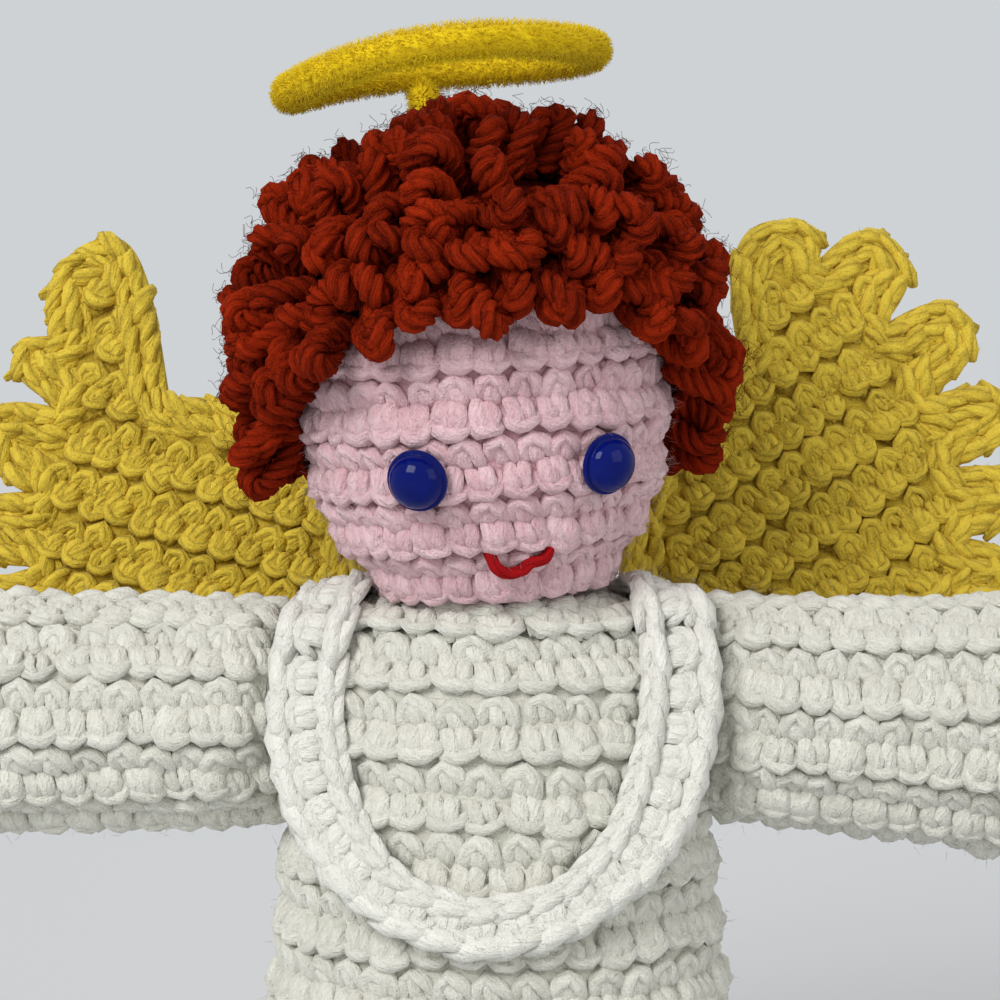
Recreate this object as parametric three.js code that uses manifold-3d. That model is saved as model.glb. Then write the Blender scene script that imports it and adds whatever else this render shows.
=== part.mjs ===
// Crocheted angel doll: crocheted covers over fibre stuffing, looped yarn hair, safety eyes,
// a chenille halo, a draped stole and two fan-shaped wings.
// Millimetres, +Z up, facing -Y, origin at the centre of the underside.

import * as THREE from "three";
import { mergeVertices } from "three/addons/utils/BufferGeometryUtils.js";
import Module from "manifold-3d";

const wasm = await Module();
wasm.setup();

// Cloth and fits
const fabric = 3.6;
const seat = 0.3;

// Gown, from the underside up to the neck
const neckHeight = 150;
const neckRadius = 13;
const hemHalfWidth = 50;
const hemHalfDepth = 42;
const hipHeight = 48;
const hipHalfWidth = 44;
const hipHalfDepth = 35;
const chestDrop = 34;
const chestHalfWidth = 37;
const chestHalfDepth = 27;
const shoulderDrop = 9;
const shoulderHalfWidth = 35;
const shoulderHalfDepth = 21;
const crestDrop = 1.5;
const crestHalfWidth = 27;
const crestHalfDepth = 16.5;
const stiffenerThickness = 2;

// Head, turned and leaning a little on the neck
const headHalfWidth = 32;
const headHalfDepth = 31;
const headHalfHeight = 37;
const headSquareness = 2.4;
const headLift = 0.6;
const headTurn = 9;
const headLean = -4.3;
const neckOpening = 12;
const neckYarn = 0.45;
const neckSlack = 0.4;

// Eyes and mouth
const eyeRadius = 5;
const eyeHeight = 4.4;
const eyeRim = 0.9;
const eyeSpacing = 30;
const eyeDrop = 12.4;
const postRadius = 1.7;
const postLength = 9;
const washerRadius = 5.4;
const washerThickness = 1.6;
const washerDrop = 1.3;
const mouthWidth = 12;
const mouthDrop = 27.3;
const mouthShift = 1;
const mouthSag = 3.4;
const mouthYarn = 0.9;

// Hair, in rows of yarn loops about an axis that leans back
const hairTilt = 38;
const hairRows = 5;
const crownEdge = 20;
const hairEdge = 103;
const hairHeight = 12.5;
const loopWidth = 9.5;
const hairLift = 0.75;

// Halo
const haloRadius = 26;
const haloTube = 3.1;
const haloRise = 5.5;
const haloOffset = -3;
const haloLean = -3;
const haloPitch = 2.7;
const stemSlope = 30;
const stemDepth = 9;

// Arms
const armDrop = 19;
const armRadius = 20;
const armDepthShare = 0.84;
const shoulderDent = 1.8;
const sleeveReach = 46;
const leftCuffRadius = 23;
const rightCuffRadius = 20.5;
const leftArmDroop = 3.5;
const rightArmDroop = 0;
const wristRadius = 12.5;
const handLength = 18;

// Stole
const stoleWidth = 13;
const stoleThickness = 3.6;
const stoleRidge = 1.4;
const stoleRidgeWidth = 4.2;
const stoleRidgePeak = 2;
const stoleTuck = 3;

// Wings
const wingThickness = 4.6;
const wingRootX = 19;
const wingRise = 0;
const rootBottom = -30;
const rootTop = -17;
const fanOut = 10;
const fanUp = 9;
const fanRadius = 60;
const lobeAngles = [-32, -20, -8, 4.5, 17.5, 31.5, 48.5];
const lobeReaches = [71, 72, 73, 74, 75, 74.5, 73.5];
const leftLobesEnd = 57;
const rightLobesEnd = 50.5;
const leftLastNotch = 60;
const rightLastNotch = 68;
const lobeFlare = 0.15;
const lobeSide = 0.65;
const lobeShoulder = 0.35;
const topLobeBulge = 3;
const topLobeShoulder = 9;
const leftPalmOut = 27;
const rightPalmOut = 35;
const leftTopTip = [36, 68];
const rightTopTip = [40, 77];
const palmIn = 20;
const palmRise = 43.5;
const palmSlope = 6;
const palmFootOut = 8;
const palmFootRise = 20;
const leftWingDroop = 0;
const rightWingDroop = 18;
const wingSweep = 7;
const wingLeanBack = 0.3;
const wingBend = 10;
const wingSweepStart = 8;
const wingLeanDrop = 8;

const radians = THREE.MathUtils.degToRad;
const point = (x, y, z) => new THREE.Vector3(x, y, z);

// Solids
function solidOf(geometry) {
  const plain = geometry.clone();
  for (const name of Object.keys(plain.attributes)) {
    if (name !== "position") plain.deleteAttribute(name);
  }
  const merged = mergeVertices(plain, 1e-4);
  const index = merged.index.array;
  const kept = [];
  for (let i = 0; i < index.length; i += 3) {
    const [a, b, c] = [index[i], index[i + 1], index[i + 2]];
    if (a !== b && b !== c && c !== a) kept.push(a, b, c);
  }
  const build = (triangles) => new wasm.Manifold(new wasm.Mesh({
    numProp: 3,
    vertProperties: new Float32Array(merged.attributes.position.array),
    triVerts: new Uint32Array(triangles),
  }));
  const solid = build(kept);
  if (solid.volume() > 0) return solid;
  for (let i = 0; i < kept.length; i += 3) {
    [kept[i + 1], kept[i + 2]] = [kept[i + 2], kept[i + 1]];
  }
  return build(kept);
}

function geometryOf(solid) {
  const mesh = solid.getMesh();
  const count = mesh.vertProperties.length / mesh.numProp;
  const positions = new Float32Array(count * 3);
  for (let i = 0; i < count; i++) {
    for (let k = 0; k < 3; k++) positions[i * 3 + k] = mesh.vertProperties[i * mesh.numProp + k];
  }
  const geometry = new THREE.BufferGeometry();
  geometry.setAttribute("position", new THREE.BufferAttribute(positions, 3));
  geometry.setIndex(new THREE.BufferAttribute(new Uint32Array(mesh.triVerts), 1));
  geometry.computeVertexNormals();
  return geometry;
}

// Skin through rings of points: a closed loop of rings, or capped at both ends
function skin(rings, looped) {
  const sides = rings[0].length;
  const positions = rings.flat().flatMap((p) => [p.x, p.y, p.z]);
  const index = [];
  const spans = looped ? rings.length : rings.length - 1;
  for (let i = 0; i < spans; i++) {
    const next = (i + 1) % rings.length;
    for (let j = 0; j < sides; j++) {
      const k = (j + 1) % sides;
      const [a, b, c, d] = [i * sides + j, i * sides + k, next * sides + k, next * sides + j];
      index.push(a, b, c, a, c, d);
    }
  }
  if (!looped) {
    for (const [ring, flip] of [[0, true], [rings.length - 1, false]]) {
      const centre = new THREE.Vector3();
      for (const p of rings[ring]) centre.addScaledVector(p, 1 / sides);
      const hub = positions.length / 3;
      positions.push(centre.x, centre.y, centre.z);
      for (let j = 0; j < sides; j++) {
        const a = ring * sides + j;
        const b = ring * sides + ((j + 1) % sides);
        if (flip) index.push(hub, b, a);
        else index.push(hub, a, b);
      }
    }
  }
  const geometry = new THREE.BufferGeometry();
  geometry.setAttribute("position", new THREE.Float32BufferAttribute(positions, 3));
  geometry.setIndex(index);
  return solidOf(geometry);
}

// Rod of one radius between two points
function rod(from, to, radius, sides) {
  const geometry = new THREE.CylinderGeometry(radius, radius, from.distanceTo(to), sides);
  const turn = new THREE.Quaternion().setFromUnitVectors(
    point(0, 1, 0),
    to.clone().sub(from).normalize(),
  );
  geometry.applyQuaternion(turn);
  const middle = from.clone().lerp(to, 0.5);
  geometry.translate(middle.x, middle.y, middle.z);
  return solidOf(geometry);
}

function ball(centre, radius, sides) {
  const geometry = new THREE.SphereGeometry(radius, sides, Math.round(sides * 0.6));
  geometry.translate(centre.x, centre.y, centre.z);
  return solidOf(geometry);
}

// Gown profile: half width, half depth and height, from hem to neck
const baseTop = fabric + seat;
const gownProfile = new THREE.CatmullRomCurve3([
  point(hemHalfWidth, hemHalfDepth, baseTop),
  point(hipHalfWidth, hipHalfDepth, hipHeight),
  point(chestHalfWidth, chestHalfDepth, neckHeight - chestDrop),
  point(shoulderHalfWidth, shoulderHalfDepth, neckHeight - shoulderDrop),
  point(crestHalfWidth, crestHalfDepth, neckHeight - crestDrop),
  point(neckRadius, neckRadius, neckHeight),
]);
const lastStation = 5;
const gownSides = 24;
const gownSteps = 11;

// A gown section at a station, moved out along the profile's own normal
function gownSection(station, outset) {
  const share = station / lastStation;
  const place = gownProfile.getPoint(share);
  const along = gownProfile.getTangent(share);
  const flat = Math.hypot(along.x, along.z);
  const out = along.z / flat;
  const up = -along.x / flat;
  const height = Math.max(place.z + outset * up, baseTop);
  return point(place.x + outset * out, place.y + outset * out, height);
}

function gownPoint(station, azimuth, outset) {
  const section = gownSection(station, outset);
  return point(section.x * Math.cos(azimuth), section.y * Math.sin(azimuth), section.z);
}

function gownRings(outset, from, to, steps) {
  const rings = [];
  for (let i = 0; i <= steps; i++) {
    const station = from + ((to - from) * i) / steps;
    const ring = [];
    for (let j = 0; j < gownSides; j++) {
      ring.push(gownPoint(station, (j / gownSides) * 2 * Math.PI, outset));
    }
    rings.push(ring);
  }
  return rings;
}

// Station at which the gown reaches a height below its crest
function gownStation(height) {
  let low = 0;
  let high = 4;
  for (let i = 0; i < 40; i++) {
    const middle = (low + high) / 2;
    if (gownSection(middle, 0).z < height) low = middle;
    else high = middle;
  }
  return low;
}

const gownClearance = skin(gownRings(seat, 0, lastStation, gownSteps), false);

// Arms: a stuffed sleeve with a rounded shoulder end and a mitt at the cuff
const armHeight = neckHeight - armDrop;
const armPivotX = gownSection(gownStation(armHeight), 0).x + armRadius - shoulderDent;
const armSides = 20;

const armPair = [
  { side: 1, cuff: leftCuffRadius, droop: leftArmDroop },
  { side: -1, cuff: rightCuffRadius, droop: rightArmDroop },
];

function sleeveProfile(inset, end, cuff) {
  const profile = [];
  for (let i = 0; i <= 5; i++) {
    const angle = (i / 5) * (Math.PI / 2);
    const radius = armRadius - inset;
    profile.push(new THREE.Vector2(radius * Math.sin(angle), -radius * Math.cos(angle)));
  }
  profile.push(new THREE.Vector2((armRadius + cuff) / 2 - inset, sleeveReach * 0.5));
  profile.push(new THREE.Vector2(cuff - inset, sleeveReach - 11));
  profile.push(new THREE.Vector2(cuff - 0.8 - inset, sleeveReach - 4 - inset * 0.4));
  profile.push(new THREE.Vector2(wristRadius + 3 - inset * 0.4, sleeveReach - inset * 0.8));
  profile.push(new THREE.Vector2(wristRadius, end));
  profile[0].x = 0;
  return profile;
}

function armSolid(profile, arm) {
  const geometry = new THREE.LatheGeometry(profile, armSides);
  geometry.rotateZ(-Math.PI / 2);
  geometry.scale(1, 1, armDepthShare);
  geometry.rotateX(Math.PI / 2);
  if (arm.side < 0) geometry.rotateZ(Math.PI);
  geometry.rotateY(arm.side * radians(arm.droop));
  geometry.translate(arm.side * armPivotX, 0, armHeight);
  return solidOf(geometry);
}

function sleeveSolid(arm) {
  const outer = sleeveProfile(0, sleeveReach, arm.cuff);
  const inner = sleeveProfile(fabric, sleeveReach - fabric * 0.8, arm.cuff).reverse();
  return armSolid([...outer, ...inner], arm);
}

function armStuffing(arm) {
  const profile = sleeveProfile(fabric + seat, sleeveReach - fabric - seat, arm.cuff).slice(0, 9);
  const end = sleeveReach - 4 - fabric - seat;
  profile[8].y = end;
  profile.push(new THREE.Vector2(0, end));
  return armSolid(profile, arm).subtract(armSolid(handProfile(seat), arm));
}

// Mitt with a stub that is held inside the cuff
function handProfile(outset) {
  const stubEnd = sleeveReach - 7 - outset;
  const stub = wristRadius - seat + outset;
  const profile = [
    new THREE.Vector2(0, stubEnd),
    new THREE.Vector2(stub - 1, stubEnd),
    new THREE.Vector2(stub - 1, sleeveReach - 4),
  ];
  const bulge = wristRadius + 1.4;
  for (let i = 0; i <= 6; i++) {
    const angle = radians(-24 + (114 * i) / 6);
    const radius = bulge * Math.cos(angle);
    profile.push(new THREE.Vector2(radius, sleeveReach + handLength * (0.42 + 0.58 * Math.sin(angle))));
  }
  profile[profile.length - 1].x = 0;
  return profile;
}

// Room for the turning shoulder, its flat faces kept outside the true round
const shoulderRoom = (armRadius + seat) / Math.cos(Math.PI / armSides) ** 2;
const armClearance = [1, -1].map((side) =>
  ball(point(0, 0, 0), shoulderRoom, armSides)
    .scale([1, (armDepthShare * armRadius + seat) / (armRadius + seat), 1])
    .translate([side * armPivotX, 0, armHeight]),
);

// Gown cover, its stuffing, the base and the stiffener that keeps the base flat
const outerRings = gownRings(0, 0, lastStation, gownSteps);
const innerRings = gownRings(-fabric, 0, lastStation - 0.25, gownSteps).reverse();
let gownCover = skin([...outerRings, ...innerRings], true);
for (const arm of armClearance) gownCover = gownCover.subtract(arm);

function ellipseDisc(halfWidth, halfDepth, bottom, thickness) {
  const outline = new THREE.Shape();
  outline.absellipse(0, 0, halfWidth, halfDepth, 0, 2 * Math.PI);
  const geometry = new THREE.ExtrudeGeometry(outline, {
    depth: thickness,
    bevelEnabled: false,
    curveSegments: 20,
  });
  geometry.translate(0, 0, bottom);
  return solidOf(geometry);
}

const gownBase = ellipseDisc(hemHalfWidth - 1, hemHalfDepth - 1, 0, fabric);
const lining = fabric + seat + 0.8;
const stiffener = ellipseDisc(
  hemHalfWidth - lining,
  hemHalfDepth - lining,
  baseTop,
  stiffenerThickness,
);
const stuffingStart = gownStation(baseTop + stiffenerThickness + 1.2);
const gownStuffing = skin(
  gownRings(-fabric - 2 * seat, stuffingStart, lastStation - 0.3, 9),
  false,
);

// Head pieces are built about the head's centre, then set on the neck
const headCentre = headLift + headHalfHeight;

// Distance from the head's centre to its skin, squarer from top to bottom than a ball
function headReach(direction, inset = 0) {
  const level = Math.hypot(
    direction.x / (headHalfWidth - inset),
    direction.y / (headHalfDepth - inset),
  );
  const rise = Math.abs(direction.z) / (headHalfHeight - inset);
  return (level ** headSquareness + rise ** headSquareness) ** (-1 / headSquareness);
}

function headPoint(direction, height) {
  return direction.clone().multiplyScalar(headReach(direction) + height);
}

function headNormal(place) {
  const level = Math.hypot(place.x / headHalfWidth, place.y / headHalfDepth);
  const spread = level ** (headSquareness - 2);
  const rise = Math.abs(place.z / headHalfHeight) ** (headSquareness - 2);
  return point(
    (spread * place.x) / headHalfWidth ** 2,
    (spread * place.y) / headHalfDepth ** 2,
    (rise * place.z) / headHalfHeight ** 2,
  ).normalize();
}

// Point of the face at a given sideways and vertical place
function facePoint(x, z) {
  const level = (1 - Math.abs(z / headHalfHeight) ** headSquareness) ** (1 / headSquareness);
  const rest = level ** 2 - (x / headHalfWidth) ** 2;
  return point(x, -headHalfDepth * Math.sqrt(Math.max(rest, 0.01)), z);
}

function headBall(inset) {
  const geometry = new THREE.SphereGeometry(1, 20, 11);
  geometry.rotateX(Math.PI / 2);
  const skinPoints = geometry.attributes.position;
  for (let i = 0; i < skinPoints.count; i++) {
    const direction = new THREE.Vector3().fromBufferAttribute(skinPoints, i).normalize();
    const place = direction.multiplyScalar(headReach(direction, inset));
    skinPoints.setXYZ(i, place.x, place.y, place.z);
  }
  return solidOf(geometry);
}

let headCover = headBall(0).subtract(headBall(fabric));
const neckHole = rod(point(0, 0, -headHalfHeight - 4), point(0, 0, 0), neckOpening, 24);
headCover = headCover.subtract(neckHole);
let headStuffing = headBall(fabric + seat);
const neckShare = (neckOpening / headHalfDepth) ** headSquareness;
const neckPlane = -headHalfHeight * (1 - neckShare) ** (1 / headSquareness) + 1;
const below = new THREE.BoxGeometry(100, 100, 100);
below.translate(0, 0, neckPlane - 50);
headStuffing = headStuffing.subtract(solidOf(below));

// Safety eyes: a dome with a rim on a post, held by a washer inside
function eyeSolid() {
  const profile = [new THREE.Vector2(0, -postLength), new THREE.Vector2(postRadius, -postLength)];
  profile.push(new THREE.Vector2(postRadius, 0), new THREE.Vector2(eyeRadius, 0));
  profile.push(new THREE.Vector2(eyeRadius, eyeRim));
  for (let i = 1; i <= 4; i++) {
    const angle = (i / 5) * (Math.PI / 2);
    const rise = eyeRim + (eyeHeight - eyeRim) * Math.sin(angle);
    profile.push(new THREE.Vector2((eyeRadius - 0.5) * Math.cos(angle), rise));
  }
  profile.push(new THREE.Vector2(0, eyeHeight));
  return solidOf(new THREE.LatheGeometry(profile, 20));
}

function washerSolid() {
  const start = -fabric - seat - washerThickness - washerDrop;
  const hole = postRadius + 0.2;
  const profile = [
    new THREE.Vector2(hole, start),
    new THREE.Vector2(washerRadius, start),
    new THREE.Vector2(washerRadius, start + washerThickness),
    new THREE.Vector2(hole, start + washerThickness),
    new THREE.Vector2(hole, start),
  ];
  return solidOf(new THREE.LatheGeometry(profile, 20));
}

function eyePocket(radius, from, to) {
  return rod(point(0, from, 0), point(0, to, 0), radius, 20);
}

const eyes = [];
for (const side of [1, -1]) {
  const place = facePoint((side * eyeSpacing) / 2, -eyeDrop);
  const out = headNormal(place);
  const turn = new THREE.Quaternion().setFromUnitVectors(point(0, 1, 0), out);
  const seatPoint = place.clone().addScaledVector(out, seat);
  const matrix = new THREE.Matrix4().compose(seatPoint, turn, point(1, 1, 1)).toArray();
  const inside = -fabric - 2 * seat - washerThickness - washerDrop;
  headCover = headCover.subtract(eyePocket(postRadius + seat, -postLength, 2).transform(matrix));
  headStuffing = headStuffing
    .subtract(eyePocket(postRadius + seat, -postLength - seat, 2).transform(matrix))
    .subtract(eyePocket(washerRadius + seat, inside, 2).transform(matrix));
  eyes.push([eyeSolid().transform(matrix), washerSolid().transform(matrix)]);
}

// Embroidered mouth: one yarn laid on the face
const mouthPath = [];
for (let i = 0; i <= 4; i++) {
  const share = i / 2 - 1;
  const across = mouthShift + (share * mouthWidth) / 2;
  const place = facePoint(across, -mouthDrop - mouthSag * (0.5 - share * share));
  mouthPath.push(place.addScaledVector(headNormal(place), mouthYarn + seat + 0.1));
}
const mouthOutline = new THREE.Shape();
mouthOutline.absarc(0, 0, mouthYarn, 0, 2 * Math.PI);
const mouth = solidOf(new THREE.ExtrudeGeometry(mouthOutline, {
  steps: 10,
  curveSegments: 5,
  extrudePath: new THREE.CatmullRomCurve3(mouthPath),
}));

// Hair rows
const hairAxis = point(0, Math.sin(radians(hairTilt)), Math.cos(radians(hairTilt)));
const hairSide = point(1, 0, 0);
const hairBack = hairAxis.clone().cross(hairSide);

function hairDirection(polar, azimuth) {
  return hairAxis.clone().multiplyScalar(Math.cos(polar))
    .addScaledVector(hairSide, Math.sin(polar) * Math.cos(azimuth))
    .addScaledVector(hairBack, Math.sin(polar) * Math.sin(azimuth));
}

const rowSpan = radians(hairEdge - crownEdge) / hairRows;
const rowGap = seat / headHalfWidth / 2;

function hairRow(row) {
  const start = radians(crownEdge) + row * rowSpan + rowGap;
  const end = start + rowSpan - 2 * rowGap;
  const middle = (start + end) / 2;
  const loops = Math.round((2 * Math.PI * (headHalfWidth + hairHeight / 2) * Math.sin(middle)) / loopWidth);
  const rings = [];
  for (let i = 0; i < loops * 2; i++) {
    const azimuth = (i / (loops * 2)) * 2 * Math.PI;
    const height = i % 2 === 0 ? hairHeight : hairHeight * 0.8;
    const corners = [
      [start, hairLift],
      [start, height * 0.7],
      [start + rowSpan * 0.28, height * 0.97],
      [end - rowSpan * 0.28, height * 0.97],
      [end, height * 0.62],
      [end, hairLift],
    ];
    rings.push(corners.map(([polar, lift]) => headPoint(hairDirection(polar, azimuth), lift)));
  }
  return skin(rings, true);
}

function hairCrown() {
  const end = radians(crownEdge) - rowGap;
  const loops = 9;
  const rows = [
    [end * 0.3, hairLift],
    [end, hairLift],
    [end, hairHeight * 0.7],
    [end * 0.66, hairHeight * 0.96],
    [end * 0.25, hairHeight],
  ];
  const rings = rows.map(([polar, lift], k) => {
    const ring = [];
    for (let i = 0; i < loops * 2; i++) {
      const azimuth = (i / (loops * 2)) * 2 * Math.PI;
      const dip = k > 1 && i % 2 === 1 ? 0.86 : 1;
      ring.push(headPoint(hairDirection(polar, azimuth), k > 1 ? lift * dip : lift));
    }
    return ring;
  });
  return skin(rings, false);
}

// Halo: a ring on a stem that is set in the crown, free to bend where it leaves the hair
const stemFootDirection = point(
  haloOffset / headHalfHeight,
  Math.sin(radians(stemSlope)),
  Math.cos(radians(stemSlope)),
).normalize();
const stemFoot = headPoint(stemFootDirection, 0);
const haloCentre = point(haloOffset, 0, headHalfHeight + hairHeight + haloRise);
const haloSpin = new THREE.Euler(radians(haloPitch), radians(haloLean), 0);
const haloBack = point(0, haloRadius, 0).applyEuler(haloSpin).add(haloCentre);
const stemLine = haloBack.clone().sub(stemFoot).normalize();
const bend = stemFoot.clone().addScaledVector(stemLine, hairHeight + haloTube);
const stemBottom = stemFoot.clone().addScaledVector(stemLine, -stemDepth);
const haloStem = rod(stemBottom, bend.clone().addScaledVector(stemLine, -haloTube - seat), haloTube, 12);
const stemPocket = rod(
  stemBottom.clone().addScaledVector(stemLine, -seat),
  bend,
  haloTube + seat,
  16,
);

const haloTorus = new THREE.TorusGeometry(haloRadius, haloTube, 8, 32);
haloTorus.rotateY(radians(haloLean));
haloTorus.rotateX(radians(haloPitch));
haloTorus.translate(haloCentre.x, haloCentre.y, haloCentre.z);
const haloRing = solidOf(haloTorus)
  .add(rod(bend, haloBack, haloTube * 0.97, 12))
  .add(ball(bend, haloTube, 12));

headCover = headCover.subtract(stemPocket);
headStuffing = headStuffing.subtract(stemPocket);

// Neck: whip-stitched yarn between the gown and the head
const neckTorus = new THREE.TorusGeometry(neckOpening + neckSlack, neckYarn, 6, 24);
neckTorus.translate(0, 0, neckHeight + seat + neckYarn);
const neckSeam = solidOf(neckTorus);

// Stole: a band with two raised edges, laid over the shoulders and round the neck
const stolePath = new THREE.CatmullRomCurve3([
  [1.755, -94],
  [1.8, -72],
  [1.95, -50],
  [2.35, -37],
  [2.9, -31],
  [3.6, -22],
  [3.98, 0],
  [3.75, 36],
  [3.35, 64],
  [3.2, 90],
  [3.35, 116],
  [3.75, 144],
  [3.98, 180],
  [3.6, 202],
  [2.9, 209],
  [2.35, 212.5],
  [1.95, 223.5],
  [1.8, 244],
].map(([station, azimuth]) => gownPoint(station, radians(azimuth), seat)), true, "centripetal");

function gownOut(place) {
  const station = gownStation(Math.min(place.z, neckHeight - crestDrop - 0.4));
  const section = gownSection(station, 0);
  const side = point(place.x / section.x ** 2, place.y / section.y ** 2, 0).normalize();
  const along = gownProfile.getTangent(station / lastStation);
  const flat = Math.hypot(along.x, along.z);
  return side.multiplyScalar(along.z / flat).add(point(0, 0, -along.x / flat)).normalize();
}

const stoleSteps = 44;
const half = stoleWidth / 2;
const edge = stoleThickness + stoleRidge;
const stoleSection = [
  [-half, -stoleTuck],
  [half, -stoleTuck],
  [half, stoleThickness * 0.8],
  [half - stoleRidgePeak, edge],
  [half - stoleRidgeWidth, stoleThickness],
  [stoleRidgeWidth - half, stoleThickness],
  [stoleRidgePeak - half, edge],
  [-half, stoleThickness * 0.8],
];
const stoleRings = [];
for (let i = 0; i < stoleSteps; i++) {
  const place = stolePath.getPointAt(i / stoleSteps);
  const along = stolePath.getTangentAt(i / stoleSteps);
  const out = gownOut(place);
  out.addScaledVector(along, -out.dot(along)).normalize();
  const across = along.clone().cross(out);
  stoleRings.push(stoleSection.map(([side, lift]) =>
    place.clone().addScaledVector(across, side).addScaledVector(out, lift)));
}
const neckClearance = rod(
  point(0, 0, neckHeight - 4),
  point(0, 0, neckHeight + 8),
  neckOpening + 2 * neckYarn + seat,
  28,
);
const stole = skin(stoleRings, true).subtract(gownClearance).subtract(neckClearance);

// Wings: lobed fans, sewn to the back along their roots
const fanCentre = new THREE.Vector2(fanOut, fanUp);
const wingPair = [
  {
    side: 1,
    droop: leftWingDroop,
    palmOut: leftPalmOut,
    topTip: leftTopTip,
    lobesEnd: leftLobesEnd,
    lastNotch: leftLastNotch,
  },
  {
    side: -1,
    droop: rightWingDroop,
    palmOut: rightPalmOut,
    topTip: rightTopTip,
    lobesEnd: rightLobesEnd,
    lastNotch: rightLastNotch,
  },
];

// Flat outline of a wing: u outward from the root, v up from the neck
function wingOutline(wing) {
  const turned = (u, v) => new THREE.Vector2(u, v).rotateAround(fanCentre, -radians(wing.droop));
  const rim = (angle, reach) => turned(
    fanOut + reach * Math.cos(radians(angle)),
    fanUp + reach * Math.sin(radians(angle)),
  );
  const outline = new THREE.Shape();
  outline.moveTo(0, rootBottom);
  let low = lobeAngles[0] - (lobeAngles[1] - lobeAngles[0]) / 2;
  const start = rim(low, fanRadius);
  outline.lineTo(start.x, start.y);
  const curve = (...places) => outline.bezierCurveTo(...places.flatMap((place) => [place.x, place.y]));
  lobeAngles.forEach((angle, lobe) => {
    const next = lobeAngles[lobe + 1];
    const high = next === undefined ? wing.lobesEnd : (angle + next) / 2;
    const halfSpan = (high - low) / 2;
    const reach = lobeReaches[lobe];
    const sideReach = fanRadius + lobeSide * (reach - fanRadius);
    curve(
      rim(low + lobeFlare * halfSpan, sideReach),
      rim(low + lobeShoulder * halfSpan, reach),
      rim(low + halfSpan, reach),
    );
    curve(
      rim(high - lobeShoulder * halfSpan, reach),
      rim(high - lobeFlare * halfSpan, sideReach),
      rim(high, next === undefined ? wing.lastNotch : fanRadius),
    );
    low = high;
  });
  const [tipU, tipV] = wing.topTip;
  const lastU = fanOut + wing.lastNotch * Math.cos(radians(wing.lobesEnd));
  const lastV = fanUp + wing.lastNotch * Math.sin(radians(wing.lobesEnd));
  curve(
    turned(lastU + topLobeBulge, (lastV + tipV) / 2),
    turned(tipU + topLobeShoulder, tipV),
    turned(tipU, tipV),
  );
  curve(
    turned(tipU - topLobeShoulder, tipV),
    turned(wing.palmOut - topLobeBulge, palmRise + lobeSide * (tipV - palmRise)),
    turned(wing.palmOut, palmRise),
  );
  for (const [u, v] of [[palmIn, palmRise - palmSlope], [palmFootOut, palmFootRise]]) {
    const edgePoint = turned(u, v);
    outline.lineTo(edgePoint.x, edgePoint.y);
  }
  outline.lineTo(0, rootTop);
  outline.closePath();
  return outline;
}

const wingRootZ = neckHeight + wingRise;

// Place of a wing point in the middle of the cloth
function wingPoint(u, v, side) {
  const backStation = gownStation(wingRootZ + Math.min(v, rootTop));
  const section = gownSection(backStation, 0);
  const back = section.y * Math.sqrt(1 - (wingRootX / section.x) ** 2) + seat + wingThickness / 2;
  const chest = chestHalfDepth + seat + wingThickness / 2;
  const ease = THREE.MathUtils.smoothstep(u, 0, wingBend);
  const rise = Math.max(v + wingLeanDrop, 0);
  const sweep = Math.tan(radians(wingSweep)) * Math.max(u - wingSweepStart, 0);
  const y = back + (chest - back) * ease + wingLeanBack * rise * ease + sweep;
  return point(side * (wingRootX + u), y, wingRootZ + v);
}

function wingSolid(wing) {
  const geometry = new THREE.ExtrudeGeometry(wingOutline(wing), {
    depth: wingThickness,
    bevelEnabled: false,
    curveSegments: 6,
  });
  const corners = geometry.attributes.position;
  for (let i = 0; i < corners.count; i++) {
    const [u, v, w] = [corners.getX(i), corners.getY(i), corners.getZ(i)];
    const here = wingPoint(u, v, wing.side);
    const across = wingPoint(u + 0.5, v, wing.side).sub(here);
    const upward = wingPoint(u, v + 0.5, wing.side).sub(here);
    const out = across.cross(upward).normalize();
    if (out.y > 0) out.negate();
    here.addScaledVector(out, w - wingThickness / 2);
    corners.setXYZ(i, here.x, here.y, here.z);
  }
  return solidOf(geometry).subtract(gownClearance);
}

// Assembly
const paint = (color, roughness) => new THREE.MeshStandardMaterial({ color, roughness, metalness: 0 });
const group = new THREE.Group();

function place(name, solid, material, parent = group) {
  const mesh = new THREE.Mesh(geometryOf(solid), material);
  mesh.name = name;
  parent.add(mesh);
}

const white = 0xe6e3d8;
const pink = 0xe2bcc4;
const filling = 0xf4f2ee;
const rust = 0x8e2410;
const gold = 0xc79f24;

place("gown_cover", gownCover, paint(white, 0.95));
place("gown_base", gownBase, paint(white, 0.95));
place("base_stiffener", stiffener, paint(0xd8d6cc, 0.6));
place("gown_stuffing", gownStuffing, paint(filling, 1));
place("stole", stole, paint(white, 0.95));
place("neck_seam", neckSeam, paint(pink, 0.95));

for (const [i, name] of ["left", "right"].entries()) {
  place(`${name}_sleeve`, sleeveSolid(armPair[i]), paint(white, 0.95));
  place(`${name}_hand`, armSolid(handProfile(0), armPair[i]), paint(pink, 0.95));
  place(`${name}_arm_stuffing`, armStuffing(armPair[i]), paint(filling, 1));
  place(`${name}_wing`, wingSolid(wingPair[i]), paint(gold, 0.95));
}

const head = new THREE.Group();
head.position.set(0, 0, neckHeight);
head.rotation.set(0, radians(headLean), radians(headTurn), "ZYX");
group.add(head);
const skull = new THREE.Group();
skull.position.set(0, 0, headCentre);
head.add(skull);

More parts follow.
